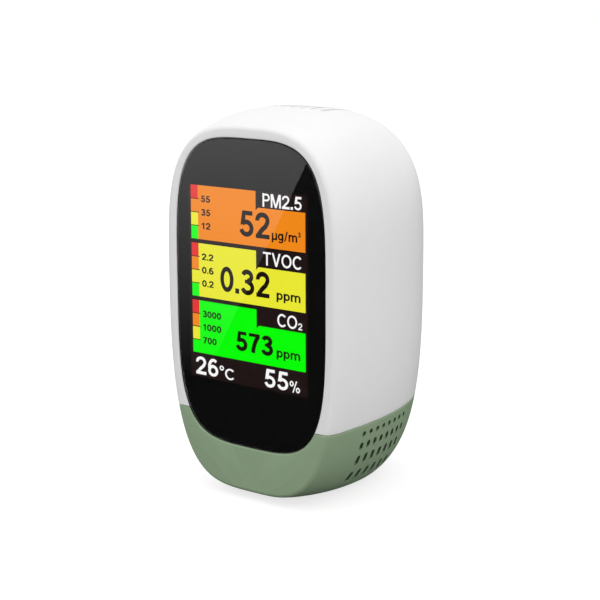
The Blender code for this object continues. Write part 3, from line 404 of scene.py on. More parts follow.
def cut_level(bm, level, side, roll):
    """Cut the body flat at a level, keeping the side given, with the cut's edge rolled over."""
    offsets = [0.0]
    for step in range(1, ROLL_STEPS + 1):
        offsets.append(roll * (1 - math.cos(math.pi / 2 * step / ROLL_STEPS)))
    for offset in offsets:
        geometry = list(bm.verts) + list(bm.edges) + list(bm.faces)
        bmesh.ops.bisect_plane(bm, geom=geometry, plane_co=(0, 0, level + side * offset), plane_no=(0, 0, 1))
    bm.normal_update()
    moves = []
    for vert in bm.verts:
        above = (vert.co.z - level) * side
        flat = Vector((vert.normal.x, vert.normal.y))
        if -TINY < above < roll and flat.length > 10 * TINY:
            inset = roll - math.sqrt(roll**2 - (roll - max(0.0, above)) ** 2)
            moves.append((vert, flat.normalized() * inset))
    for vert, move in moves:
        vert.co.x -= move.x
        vert.co.y -= move.y
    geometry = list(bm.verts) + list(bm.edges) + list(bm.faces)
    bmesh.ops.bisect_plane(
        bm, geom=geometry, plane_co=(0, 0, level), plane_no=(0, 0, side), clear_inner=True, dist=TINY
    )
    bmesh.ops.holes_fill(bm, edges=[edge for edge in bm.edges if edge.is_boundary], sides=0)


def shell_blank(name, levels):
    """The hollow body, cut at levels given as (level, side, roll)."""
    bm = bmesh.new()
    add_loft(bm, outer_rings())
    bmesh.ops.recalc_face_normals(bm, faces=bm.faces)
    for level, side, roll in levels:
        cut_level(bm, level, side, roll)
    shell = make_object(name, bm)
    bm = bmesh.new()
    add_loft(bm, cavity_rings())
    combine(shell, bm)
    return shell


def glass_outline(grow):
    grown = (GLASS_HALF_WIDTH + grow, GLASS_RISE + grow, GLASS_DROP + grow)
    outline = superellipse(*grown, GLASS_UPPER_POWERS, GLASS_LOWER_POWERS, RING_POINTS)
    return [(x, GLASS_HEIGHT + z) for x, z in outline]


def glass_ring(grow, depth):
    return [Vector((x, at_depth(depth), z)) for x, z in glass_outline(grow)]


def glass_pocket():
    """The recess for the glass, with its mouth rolled over."""
    rings = [glass_ring(GLASS_CLEARANCE + POCKET_ROLL, -1 * MM)]
    for step in range(ROLL_STEPS + 1):
        turn = math.pi / 2 * step / ROLL_STEPS
        grow = GLASS_CLEARANCE + POCKET_ROLL * (1 - math.sin(turn))
        rings.append(glass_ring(grow, POCKET_ROLL * (1 - math.cos(turn))))
    rings.append(glass_ring(GLASS_CLEARANCE, POCKET_DEPTH))
    bm = bmesh.new()
    add_loft(bm, rings)
    return bm


def top_slots():
    """Slots through the top of the dome."""
    bm = bmesh.new()
    for index in range(SLOT_COUNT):
        middle = ((index - (SLOT_COUNT - 1) / 2) * SLOT_PITCH, at_depth(SLOT_DEPTH))
        slot = rounded_rectangle(middle, SLOT_SIZE, SLOT_SIZE[0] / 2 - 1e-5, 8)
        add_prism(bm, slot, "Z", WIDEST_HEIGHT + RISE - 3 * WALL, WIDEST_HEIGHT + RISE + WALL)
    return bm


def housing_bosses():
    """Bars across the housing for the long screws, and bosses for the bracket and the rear board."""
    bm = bmesh.new()
    for depth in BASE_SCREW_DEPTHS:
        reach = side_at(depth, SEAM_HEIGHT, WALL / 2)
        low = (-reach, at_depth(depth - BAR_HALF), SEAM_HEIGHT + GAP)
        add_box(bm, low, (reach, at_depth(depth + BAR_HALF), BAR_TOP))
    for x, z in BRACKET_SCREWS:
        boss = circle(x, z, BRACKET_BOSS_RADIUS, 24)
        add_prism(bm, boss, "Y", at_depth(BRACKET_BOSS_FRONT), at_depth(BRACKET_FRONT - GAP))
    for x, z in REAR_SCREWS:
        boss = circle(x, z, REAR_BOSS_RADIUS, 24)
        add_prism(bm, boss, "Y", at_depth(REAR_BOSS_FRONT), at_depth(DEPTH - WALL / 2))
    return bm


def housing_holes():
    """The window for the display, and the screws' holes."""
    bm = bmesh.new()
    window = rounded_rectangle(DISPLAY_MIDDLE, WINDOW_SIZE, WINDOW_CORNER)
    add_prism(bm, window, "Y", at_depth(POCKET_DEPTH - GAP), at_depth(WINDOW_BACK))
    for x, z in BRACKET_SCREWS:
        hole = circle(x, z, BRACKET_HOLE_RADIUS, 16)
        add_prism(bm, hole, "Y", at_depth(BRACKET_HOLE_FRONT), at_depth(BRACKET_FRONT))
    for x, z in REAR_SCREWS:
        hole = circle(x, z, SMALL_HOLE_RADIUS, 16)
        add_prism(bm, hole, "Y", at_depth(REAR_BOSS_FRONT - GAP), at_depth(REAR_HOLE_BACK))
    for x, depth in BASE_SCREWS:
        hole = circle(x, at_depth(depth), BASE_HOLE_RADIUS, 16)
        add_prism(bm, hole, "Z", SEAM_HEIGHT - GAP, BAR_TOP - 1.2 * MM)
    for x in (-CARRIER_SCREW_SIDE, CARRIER_SCREW_SIDE):
        hole = circle(x, at_depth(BASE_SCREW_DEPTHS[1]), SMALL_HOLE_RADIUS, 16)
        add_prism(bm, hole, "Z", BAR_TOP - CARRIER_HOLE_DEEP, BAR_TOP + GAP)
    return bm


def housing_shell():
    housing = shell_blank("housing_shell", [(SEAM_HEIGHT + SEAM_GAP / 2, 1, SEAM_ROLL)])
    combine(housing, housing_bosses(), "UNION")
    combine(housing, glass_pocket())
    combine(housing, housing_holes())
    combine(housing, top_slots())
    combine(housing, rear_openings())
    smooth(housing)
    return housing


def rear_openings():
    """The socket's mouth and the button's hole, each with a small chamfer."""
    bm = bmesh.new()
    steps = ((-2 * WALL, 0.0), (-MOUTH_CHAMFER, 0.0), (0.0, MOUTH_CHAMFER), (WALL, MOUTH_CHAMFER + WALL))
    rings = []
    for back, grow in steps:
        size = (USB_SHELL[0] + 2 * GAP + 2 * grow, USB_SHELL[1] + 2 * GAP + 2 * grow)
        outline = rounded_rectangle((0.0, USB_HEIGHT), size, USB_CORNER + grow)
        rings.append([Vector((x, at_depth(DEPTH + back), z)) for x, z in outline])
    add_loft(bm, rings)
    rings = []
    for back, grow in steps:
        outline = circle(0.0, BUTTON_HEIGHT, BUTTON_RADIUS + GAP + grow, 48)
        rings.append([Vector((x, at_depth(DEPTH + back), z)) for x, z in outline])
    add_loft(bm, rings)
    return bm


def lip_outline(height, inset, steps=14):
    front = LIP_FRONT + inset - WALL
    back = DEPTH - inset - LIP_BACK_MARGIN
    side = []
    for step in range(steps + 1):
        depth = front + (back - front) * math.sin(math.pi / 2 * step / steps)
        slant = WALL_GROWTH * WALL * (depth / DEPTH) ** 2
        side.append((side_at(min(depth, LIP_LAST_DEPTH), height, inset + slant), at_depth(depth)))
    return side + [(-x, y) for x, y in reversed(side)]


def vent_places():
    """Depth and height of each vent, and how far its round ends stand from its middle."""
    places = []
    for height, first_depth, pitch, holes, tall in VENT_ROWS:
        stretch = tall * MM / 2 - VENT_RADIUS
        places += [((first_depth + index * pitch) * MM, height * MM, stretch) for index in range(holes)]
    return places


def vent_cutter():
    """Rows of holes across both sides of the base, round at the top and taller in each row below."""
    bm = bmesh.new()
    turn = Matrix.Rotation(math.pi / 2, 4, "Y") @ Matrix.Rotation(math.pi / VENT_SIDES, 4, "Z")
    for side in (-1, 1):
        for depth, height, stretch in vent_places():
            place = Matrix.Translation((side * VENT_CUT_MIDDLE, at_depth(depth), height))
            made = bmesh.ops.create_cone(
                bm, cap_ends=True, segments=VENT_SIDES, radius1=VENT_RADIUS, radius2=VENT_RADIUS,
                depth=VENT_CUT_LENGTH, matrix=place @ turn,
            )
            for vert in made["verts"]:
                vert.co.z += math.copysign(stretch, vert.co.z - height)
    return bm


def paint_vent_shade(base, material):
    """The walls of the vents, apart from what faces up, get a darker green: painted shade for the dark of a
    deep hole.
    """
    base.data.materials.append(material)
    for face in base.data.polygons:
        if abs(face.normal.x) > 0.2 or face.normal.z > 0.45 or abs(face.center.x) < 12 * MM:
            continue
        for depth, height, stretch in vent_places():
            away = max(0.0, abs(face.center.z - height) - stretch)
            if math.hypot(face.center.y - at_depth(depth), away) < 1.02 * VENT_RADIUS:
                face.material_index = 1
                break


def lip_gaps():
    """Room in the lip for the housing's bars."""
    bm = bmesh.new()
    for depth in BASE_SCREW_DEPTHS:
        reach = side_at(depth, SEAM_HEIGHT, WALL)
        low = (-reach, at_depth(depth - BAR_HALF - GAP), SEAM_HEIGHT - 2 * GAP)
        add_box(bm, low, (reach, at_depth(depth + BAR_HALF + GAP), BAR_TOP))
    return bm


def underside_recesses():
    """Wells for the long screws, wider at the mouth, and recesses for the feet."""
    bm = bmesh.new()
    well = (
        (WELL_RADIUS + 0.7 * MM, UNDERSIDE - 0.7 * MM),
        (WELL_RADIUS, UNDERSIDE + 0.35 * MM),
        (WELL_RADIUS, HEAD_SEAT),
        (BASE_HOLE_RADIUS, HEAD_SEAT),
        (BASE_HOLE_RADIUS, SEAM_HEIGHT + GAP),
    )
    for x, depth in BASE_SCREWS:
        rings = []
        for radius, level in well:
            rings.append([Vector((px, py, level)) for px, py in circle(x, at_depth(depth), radius, 40)])
        add_loft(bm, rings)
    for x, depth in FEET:
        recess = circle(x, at_depth(depth), FOOT_RADIUS + GAP, 48)
        add_prism(bm, recess, "Z", -GAP, FOOT_TOP + GAP)
    return bm


def green_base():
    levels = [(SEAM_HEIGHT - SEAM_GAP / 2, -1, SEAM_ROLL), (UNDERSIDE, 1, UNDERSIDE_ROLL)]
    base = shell_blank("green_base", levels)
    bm = bmesh.new()
    for x, depth in BASE_SCREWS:
        tower = circle(x, at_depth(depth), TOWER_RADIUS, 32)
        add_prism(bm, tower, "Z", UNDERSIDE + 1.0 * MM, SEAM_HEIGHT - GAP / 2)
    combine(base, bm, "UNION")
    inner = lip_outline(SEAM_HEIGHT, WALL + LIP_THICK)
    bm = bmesh.new()
    add_band(bm, lip_outline(SEAM_HEIGHT, WALL / 2), inner, SEAM_HEIGHT - 2.2 * MM, SEAM_HEIGHT - GAP)
    combine(base, bm, "UNION")
    bm = bmesh.new()
    outer = lip_outline(SEAM_HEIGHT, WALL + 1.5 * GAP)
    add_band(bm, outer, inner, SEAM_HEIGHT - 1.0 * MM, SEAM_HEIGHT + 2.4 * MM)
    combine(base, bm, "UNION")
    combine(base, glass_pocket())
    combine(base, lip_gaps())
    combine(base, underside_recesses())
    combine(base, vent_cutter())
    smooth(base)
    return base


# --- Materials ---
class Nodes:
    """A material's node tree, with short calls to add and link nodes."""

    def __init__(self, name):
        self.material = bpy.data.materials.new(name)
        self.material.use_nodes = True
        self.tree = self.material.node_tree
        self.shader = self.tree.nodes["Principled BSDF"]

    def add(self, kind, **inputs):
        node = self.tree.nodes.new(kind)
        for name, value in inputs.items():
            node.inputs[name.replace("_", " ")].default_value = value
        return node

    def link(self, source, output, target, name):
        self.tree.links.new(source.outputs[output], target.inputs[name])

    def place(self, scale):
        """Object coordinates, stretched, in metres."""
        coordinates = self.add("ShaderNodeTexCoord")
        mapping = self.add("ShaderNodeMapping", Scale=scale)
        self.link(coordinates, "Object", mapping, "Vector")
        return mapping

    def noise(self, scale, detail=3.0, stretch=(1, 1, 1)):
        node = self.add("ShaderNodeTexNoise", Scale=scale, Detail=detail)
        self.link(self.place(stretch), "Vector", node, "Vector")
        return node

    def ramp(self, source, output, low, high):
        node = self.add("ShaderNodeMapRange", To_Min=low, To_Max=high)
        self.link(source, output, node, "Value")
        return node

    def mottle(self, source, output, first, second, start=0.3, end=0.7):
        """A colour between two, by a texture's value."""
        node = self.add("ShaderNodeValToRGB")
        node.color_ramp.elements[0].position = start
        node.color_ramp.elements[0].color = (*first, 1)
        node.color_ramp.elements[1].position = end
        node.color_ramp.elements[1].color = (*second, 1)
        self.link(source, output, node, "Fac")
        return node

    def bump(self, source, output, strength, distance):
        node = self.add("ShaderNodeBump", Strength=strength, Distance=distance)
        self.link(source, output, node, "Height")
        self.link(node, "Normal", self.shader, "Normal")


def shaded(colour, share):
    return tuple(channel * share for channel in colour)


def textured(name, colour, roughness, grain, bump, metallic=0.0, vary=0.06, stretch=(1, 1, 1), **sockets):
    """A surface with fine grain: its colour, roughness and height all follow textures of its own scale."""
    nodes = Nodes(name)
    for socket, value in sockets.items():
        nodes.shader.inputs[socket.replace("_", " ")].default_value = value
    nodes.shader.inputs["Metallic"].default_value = metallic
    broad = nodes.noise(grain / 12, 2.0, stretch)
    fine = nodes.noise(grain, 4.0, stretch)
    mottled = nodes.mottle(broad, "Fac", shaded(colour, 1 - vary), shaded(colour, 1 + vary))
    nodes.link(mottled, "Color", nodes.shader, "Base Color")
    rough = nodes.ramp(fine, "Fac", roughness * 0.8, min(1.0, roughness * 1.2))
    nodes.link(rough, "Result", nodes.shader, "Roughness")
    nodes.bump(fine, "Fac", bump, 0.05 * MM)
    return nodes.material


def glass_material():
    """Clear polished glass, with faint smears."""
    nodes = Nodes("cover_glass")
    nodes.shader.inputs["Base Color"].default_value = (1, 1, 1, 1)
    nodes.shader.inputs["Transmission Weight"].default_value = 1.0
    nodes.shader.inputs["IOR"].default_value = 1.5
    smears = nodes.noise(90.0, 3.0, (1, 1, 0.4))
    rough = nodes.ramp(smears, "Fac", 0.0, 0.03)
    nodes.link(rough, "Result", nodes.shader, "Roughness")
    ripple = nodes.noise(30.0, 1.0)
    nodes.bump(ripple, "Fac", 0.02, 0.01 * MM)
    return nodes.material


def lit_material(name, colour, strength=1.14):
    """Part of the lit readout: pixel columns and rows dim its light a little between them."""
    nodes = Nodes(name)
    nodes.shader.inputs["Base Color"].default_value = (0.002, 0.002, 0.002, 1)
    nodes.shader.inputs["Roughness"].default_value = 0.4
    nodes.shader.inputs["Specular IOR Level"].default_value = 0.0
    grid = nodes.add("ShaderNodeTexBrick", Scale=1.0, Mortar_Size=0.02)
    grid.inputs["Brick Width"].default_value = PIXEL
    grid.inputs["Row Height"].default_value = PIXEL
    grid.inputs["Color1"].default_value = (*colour, 1)
    grid.inputs["Color2"].default_value = (*shaded(colour, 0.97), 1)
    grid.inputs["Mortar"].default_value = (*shaded(colour, 0.80), 1)
    grid.offset = 0.0
    turned = nodes.add("ShaderNodeMapping", Scale=(1 / MM, 1 / MM, 1 / MM), Rotation=(math.pi / 2, 0, 0))
    coordinates = nodes.add("ShaderNodeTexCoord")
    nodes.link(coordinates, "Object", turned, "Vector")
    nodes.link(turned, "Vector", grid, "Vector")
    nodes.link(grid, "Color", nodes.shader, "Emission Color")
    nodes.shader.inputs["Emission Strength"].default_value = strength
    return nodes.material


def board_material():
    """Green solder mask over copper tracks and plated pads."""
    nodes = Nodes("circuit_board")
    cells = nodes.add("ShaderNodeTexVoronoi", Scale=900.0)
    cells.feature = "DISTANCE_TO_EDGE"
    nodes.link(nodes.place((1, 1, 1)), "Vector", cells, "Vector")
    tracks = nodes.mottle(cells, "Distance", (0.03, 0.22, 0.09), (0.012, 0.12, 0.05), 0.04, 0.09)
    nodes.link(tracks, "Color", nodes.shader, "Base Color")
    rough = nodes.ramp(nodes.noise(2500.0), "Fac", 0.28, 0.42)
    nodes.link(rough, "Result", nodes.shader, "Roughness")
    nodes.bump(cells, "Distance", 0.3, 0.05 * MM)
    return nodes.material


def srgb(red, green, blue):
    """Linear values of a screen colour."""
    values = []
    for value in (red, green, blue):
        share = value / 255
        values.append(share / 12.92 if share <= 0.04045 else ((share + 0.055) / 1.055) ** 2.4)
    return tuple(values)


def cad_materials():
    """Each record slot's own material, for the CAD nodes that stay."""
    made = {}
    made["black_adhesive"] = textured("black_adhesive", (0.02, 0.02, 0.02), 0.8, 3000.0, 0.5)
    made["display_surface"] = lit_material("dark_panel", srgb(31, 17, 17), 1.0)
    made["white_diffuser"] = textured("white_diffuser", (0.8, 0.8, 0.8), 0.55, 2500.0, 0.2)
    made["pressed_steel"] = textured(
        "pressed_steel", (0.55, 0.56, 0.58), 0.32, 2500.0, 0.15, 1.0, stretch=(0.1, 1, 1)
    )
    made["amber_film"] = textured("amber_film", (0.45, 0.20, 0.03), 0.3, 1500.0, 0.1, Coat_Weight=0.3)
    made["circuit_board"] = board_material()
    made["brass"] = textured("brass", (0.72, 0.52, 0.2), 0.28, 3000.0, 0.15, 1.0)
    made["gilded_metal"] = textured("gilded_metal", (0.83, 0.62, 0.22), 0.25, 1500.0, 0.12, 1.0)
    made["filter_membrane"] = textured("filter_membrane", (0.85, 0.85, 0.82), 0.9, 5000.0, 0.6)
    made["black_plastic"] = textured("black_plastic", (0.02, 0.02, 0.022), 0.5, 3000.0, 0.25)
    made["battery_wrap"] = textured("battery_wrap", (0.08, 0.20, 0.50), 0.3, 250.0, 0.2, Coat_Weight=0.4)
    made["carrier_plastic"] = textured("carrier_plastic", (0.75, 0.75, 0.74), 0.5, 3000.0, 0.2)
    made["cable_sleeve"] = textured("cable_sleeve", (0.03, 0.03, 0.033), 0.6, 4000.0, 0.4)
    made["zinc_steel"] = textured("zinc_steel", (0.62, 0.62, 0.64), 0.32, 2500.0, 0.2, 1.0)
    return made


def dress_cad_nodes():
    """Give every CAD node the material of its slot, by the name that the model carries."""
    made = cad_materials()
    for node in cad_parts.values():
        slots = [slot.material.name.split(".")[0] for slot in node.material_slots if slot.material]
        for slot in slots:
            if slot in made:
                node.data.materials.clear()
                node.data.materials.append(made[slot])


def finish_piece(obj, material, body, slot, *replaced):
    obj.data.materials.clear()
    obj.data.materials.append(material)
    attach(obj, body)
    if replaced:
        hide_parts(*replaced)


# --- Glass, printed border and readout ---
def cover_glass():
    """The glass with its polished edge."""
    bm = bmesh.new()
    add_loft(bm, [glass_ring(grow * MM, depth * MM) for grow, depth in GLASS_PROFILE])
    return make_object("cover_glass", bm)


def border_print():
    """The black border printed on the back of the glass, open over the readout."""
    bm = bmesh.new()
    add_prism(bm, glass_outline(-0.12 * MM), "Y", at_depth(MASK_FRONT), at_depth(MASK_FRONT + MASK_THICK))
    border = make_object("border_print", bm)
    low, high = READOUT_LEFT - MASK_MARGIN, READOUT_RIGHT + MASK_MARGIN
    size = (high - low, MASK_WINDOW_HEIGHT)
    middle = ((low + high) / 2 + SIDE_SHIFT, MASK_WINDOW_MIDDLE)
    bm = bmesh.new()
    window = rounded_rectangle(middle, size, 0.3 * MM)
    add_prism(bm, window, "Y", at_depth(MASK_FRONT - GAP), at_depth(MASK_FRONT + 2 * MASK_THICK))
    combine(border, bm)
    return border


def readout_prism(bm, outline, front):
    """A thin printed shape at a depth, moved to look right through the glass."""
    shifted = [(x + SIDE_SHIFT, z) for x, z in outline]
    add_prism(bm, shifted, "Y", at_depth(front), at_depth(front + PRINT_THICK))


def rectangle(left, right, low, high):
    return [(left, low), (right, low), (right, high), (left, high)]


def block_outline(top):
    """A coloured block, less the bar's width on the left and the corner for its heading on the right."""
    left, right, bottom = READOUT_LEFT + BAR_WIDTH, READOUT_RIGHT, top - BLOCK_HEIGHT
    corner = top - NOTCH_HEIGHT
    return [
        (left, bottom), (right, bottom), (right, corner), (NOTCH_LEFT + NOTCH_CUT, corner),
        (NOTCH_LEFT, corner - NOTCH_CUT), (NOTCH_LEFT, top), (left, top),
    ]


COLOURS = {
    "red": srgb(232, 45, 45),
    "orange": srgb(244, 138, 21),
    "yellow": srgb(238, 236, 50),
    "green": srgb(0, 255, 0),
}
SCALE = ("red", "orange", "yellow", "green")
BLOCKS = ("orange", "yellow", "green")


def coloured_blocks():
    """One piece for each colour, of its block and its segments of the three bars."""
    for colour in SCALE:
        bm = bmesh.new()
        for index, block in enumerate(BLOCKS):
            top = READOUT_TOP - index * BLOCK_PITCH
            if block == colour:
                readout_prism(bm, block_outline(top), BLOCKS_FRONT)
            high = top - SCALE.index(colour) * BLOCK_HEIGHT / 4
            segment = rectangle(READOUT_LEFT, READOUT_LEFT + BAR_WIDTH, high - BLOCK_HEIGHT / 4, high)
            readout_prism(bm, segment, BLOCKS_FRONT)
        piece = make_object(f"readout_{colour}", bm)
        finish_piece(piece, lit_material(f"lit_{colour}", COLOURS[colour]), "monitor", "display_surface")


# --- Figures: plain strokes of one width, in units of the height of a capital ---
def arc(x, z, radius_x, radius_z, start, end, count=22):
    points = []
    for step in range(count + 1):
        angle = math.radians(start + (end - start) * step / count)
        points.append((x + radius_x * math.cos(angle), z + radius_z * math.sin(angle)))
    return points


def stroke(points, width):
    """The outline of a line of this width along points, with flat ends."""
    left, right = [], []
    for index, point in enumerate(points):
        before = Vector(points[max(0, index - 1)])
        after = Vector(points[min(len(points) - 1, index + 1)])
        along = (after - before).normalized()
        side = Vector((-along.y, along.x)) * width / 2
        left.append(tuple(Vector(point) + side))
        right.append(tuple(Vector(point) - side))
    return left + right[::-1]


def bar(left, right, low, high):
    return ("fill", rectangle(left, right, low, high))


def line(points, width=0.19):
    return ("line", points, width)


def ring(x, z, radius_x, radius_z, width=0.19):
    return ("ring", x, z, radius_x, radius_z, width)


ONE_FLAG = [(0.04, 0.66), (0.36, 0.66), (0.44, 1.0), (0.33, 1.0), (0.22, 0.86), (0.04, 0.80)]
SEVEN_LEG = [(0.60, 0.90), (0.47, 0.70), (0.37, 0.48), (0.30, 0.24), (0.27, 0.0)]
P_BOWL = [(0.1, 0.915), (0.38, 0.915)]
P_BOWL += arc(0.38, 0.70, 0.205, 0.215, 80, -80)
P_BOWL += [(0.38, 0.485), (0.1, 0.485)]
GLYPHS = {
    "0": (0.70, [ring(0.35, 0.5, 0.255, 0.41)]),
    "1": (0.60, [bar(0.27, 0.47, 0, 1), ("fill", ONE_FLAG)]),
    "2": (0.70, [
        line(arc(0.35, 0.70, 0.25, 0.21, 188, -25) + [(0.50, 0.48), (0.30, 0.31), (0.15, 0.13)]),
        bar(0.02, 0.69, 0, 0.17),
    ]),
    "3": (0.70, [
        line(arc(0.34, 0.735, 0.22, 0.175, 165, -88)),
        line(arc(0.345, 0.30, 0.26, 0.21, 88, -165)),
        bar(0.22, 0.38, 0.45, 0.60),
    ]),
    "5": (0.70, [
        bar(0.17, 0.65, 0.83, 1.0),
        ("fill", [(0.15, 1.0), (0.33, 1.0), (0.27, 0.50), (0.06, 0.43)]),
        line(arc(0.345, 0.33, 0.26, 0.24, 138, -165)),
    ]),
    "6": (0.70, [ring(0.36, 0.325, 0.25, 0.24), line(arc(0.39, 0.50, 0.28, 0.41, 52, 205))]),
    "7": (0.68, [bar(0.02, 0.68, 0.83, 1.0), line(SEVEN_LEG, 0.2)]),
    ".": (0.20, [bar(0.0, 0.2, 0, 0.2)]),
    "P": (0.66, [bar(0, 0.15, 0, 1), line(P_BOWL, 0.18)]),
    "M": (0.90, [
        bar(0, 0.14, 0, 1),
        bar(0.76, 0.90, 0, 1),
        ("fill", [(0.01, 1.0), (0.20, 1.0), (0.52, 0.0), (0.38, 0.0)]),
        ("fill", [(0.89, 1.0), (0.70, 1.0), (0.38, 0.0), (0.52, 0.0)]),
    ]),
    "T": (0.74, [bar(0, 0.74, 0.86, 1), bar(0.295, 0.445, 0, 1)]),
    "V": (0.80, [
        ("fill", [(0, 1), (0.16, 1), (0.475, 0), (0.325, 0)]),
        ("fill", [(0.80, 1), (0.64, 1), (0.325, 0), (0.475, 0)]),
    ]),
    "O": (0.92, [ring(0.46, 0.5, 0.385, 0.43, 0.15)]),
    "C": (0.84, [line(arc(0.46, 0.5, 0.375, 0.43, 42, 318), 0.15)]),
    "u": (0.60, [
        bar(0, 0.17, -0.26, 0.74),
        bar(0.43, 0.60, 0, 0.74),
        line(arc(0.30, 0.26, 0.215, 0.18, 180, 360), 0.16),
    ]),
    "g": (0.62, [
        ring(0.30, 0.38, 0.215, 0.28, 0.17),
        bar(0.45, 0.62, -0.02, 0.74),
        line(arc(0.31, -0.02, 0.225, 0.17, 0, -155), 0.15),
    ]),
    "/": (0.40, [("fill", [(0, -0.02), (0.14, -0.02), (0.40, 1.0), (0.26, 1.0)])]),
    "m": (0.96, [
        bar(0, 0.17, 0, 0.74),
        bar(0.395, 0.565, 0, 0.50),
        bar(0.79, 0.96, 0, 0.50),
        line(arc(0.28, 0.44, 0.20, 0.22, 180, 0), 0.17),
        line(arc(0.675, 0.44, 0.20, 0.22, 180, 0), 0.17),
    ]),
    "p": (0.62, [bar(0, 0.17, -0.26, 0.74), ring(0.32, 0.37, 0.215, 0.285, 0.17)]),
    "o": (0.40, [ring(0.2, 0.8, 0.145, 0.145, 0.10)]),
    "%": (1.10, [
        ring(0.22, 0.75, 0.155, 0.185, 0.12),
        ring(0.88, 0.25, 0.155, 0.185, 0.12),
        ("fill", [(0.30, -0.02), (0.42, -0.02), (0.80, 1.02), (0.68, 1.02)]),
    ]),
}
LETTER_GAP = 0.09
# (figures, width in millimetres) beside each step of a block's bar, from the top down
SCALE_MARKS = (
    (("55", 3.55), ("35", 3.55), ("12", 3.55)),
    (("2.2", 4.5), ("0.6", 4.5), ("0.2", 4.5)),
    (("3000", 7.2), ("1000", 7.2), ("700", 5.3)),
)
MARK_LEFT = -17.85
MARK_HEIGHT = 1.96
MARK_LIFT = 0.08
MARK_WEIGHT = 1.15
# (figures, left, right, base line, height, weight of the strokes), in millimetres
DARK_LABELS = (
    ("52", -3.15, 8.15, 78.75, 7.5, 1.0),
    ("ug/m", 8.9, 18.1, 78.8, 2.75, 1.0),
    ("3", 18.3, 19.35, 80.35, 1.45, 1.0),
    ("0.32", -10.7, 7.95, 61.65, 7.5, 1.0),
    ("ppm", 10.5, 19.2, 61.7, 2.75, 1.0),
    ("573", -5.0, 9.0, 44.8, 5.75, 1.12),
    ("ppm", 10.4, 19.0, 44.85, 2.75, 1.0),
)
WHITE_LABELS = (
    ("PM2.5", 5.6, 19.8, 87.95, 3.85, 0.75),
    ("TVOC", 5.6, 19.7, 71.15, 3.85, 1.0),
    ("CO", 10.7, 17.95, 53.9, 3.85, 1.0),
    ("2", 18.3, 19.8, 53.9, 2.0, 0.85),
    ("26", -20.9, -12.0, 35.3, 5.5, 0.86),
    ("o", -11.5, -9.75, 35.3, 3.9, 1.0),
    ("C", -9.4, -5.7, 35.3, 3.35, 1.0),
    ("55", 5.7, 14.65, 35.35, 5.5, 0.86),
    ("%", 15.1, 18.9, 35.35, 3.35, 1.0),
)


def add_glyph(bm, shape, place, weight):
    """One stroke or ring, with place turning glyph units into (x, z)."""
    if shape[0] == "fill":
        readout_prism(bm, [place(x, z) for x, z in shape[1]], FIGURES_FRONT)
        return
    if shape[0] == "line":
        outline = stroke(shape[1], shape[2] * weight)
        readout_prism(bm, [place(x, z) for x, z in outline], FIGURES_FRONT)
        return
    _, x, z, radius_x, radius_z, width = shape
    width *= weight
    outer = arc(x, z, radius_x + width / 2, radius_z + width / 2, 0, 345, 23)
    inner = arc(x, z, radius_x - width / 2, radius_z - width / 2, 0, 345, 23)
    loops = []
    for outline, depth in ((outer, 0), (outer, PRINT_THICK), (inner, PRINT_THICK), (inner, 0)):
        points = [place(px, pz) for px, pz in outline]
        y = at_depth(FIGURES_FRONT + depth)
        loops.append([bm.verts.new((px + SIDE_SHIFT, y, pz)) for px, pz in points])
    count = len(outer)
    for k in range(4):
        first, second = loops[k], loops[(k + 1) % 4]
        for i in range(count):
            j = (i + 1) % count
            bm.faces.new((first[i], first[j], second[j], second[i]))


def label(pieces, text, left, right, low, height, weight):
    """Figures between two sides, on a base line, in millimetres."""
    total = sum(GLYPHS[letter][0] for letter in text) + LETTER_GAP * (len(text) - 1)
    stretch = (right - left) * MM / total
    start = left * MM
    for letter in text:
        width, shapes = GLYPHS[letter]

        def place(x, z, start=start):
            return (start + x * stretch, (low + z * height) * MM)

        pieces.append([(shape, place, weight) for shape in shapes])
        start += (width + LETTER_GAP) * stretch


def figures(name, pieces, material):
    """All the figures of one colour as one object, with each letter's strokes joined."""
    whole = bmesh.new()
    for shapes in pieces:
        letter = None
        for shape, place, weight in shapes:
            bm = bmesh.new()
            add_glyph(bm, shape, place, weight)
            if letter is None:
                letter = make_object("letter", bm)
            else:
                combine(letter, bm, "UNION")
        whole.from_mesh(letter.data)
        bpy.data.objects.remove(letter, do_unlink=True)
    piece = make_object(name, whole)
    finish_piece(piece, material, "monitor", "display_surface")


def readout_figures():
    dark, white = [], []
    for index, marks in enumerate(SCALE_MARKS):
        top = (READOUT_TOP - index * BLOCK_PITCH) / MM
        for step, (text, width) in enumerate(marks, 1):
            low = top - step * BLOCK_HEIGHT / MM / 4 + MARK_LIFT - MARK_HEIGHT / 2
            label(dark, text, MARK_LEFT, MARK_LEFT + width, low, MARK_HEIGHT, MARK_WEIGHT)
    for placed in DARK_LABELS:
        label(dark, *placed)
    for placed in WHITE_LABELS:
        label(white, *placed)
    figures("readout_dark_figures", dark, lit_material("dark_figures", srgb(22, 9, 6)))
    figures("readout_white_figures", white, lit_material("white_figures", srgb(252, 252, 252)))


def scale_ticks():
    """Thin dark lines between the segments of the bars, a little longer than the bars are wide."""
    bm = bmesh.new()
    for index in range(len(BLOCKS)):
        for step in range(1, 4):
            level = READOUT_TOP - index * BLOCK_PITCH - step * BLOCK_HEIGHT / 4
            reach = READOUT_LEFT + BAR_WIDTH + TICK_PAST_BAR
            tick = rectangle(READOUT_LEFT, reach, level - TICK_HALF, level + TICK_HALF)
            readout_prism(bm, tick, FIGURES_FRONT)
    piece = make_object("readout_ticks", bm)
    finish_piece(piece, lit_material("dark_ticks", srgb(70, 30, 15)), "monitor", "display_surface")


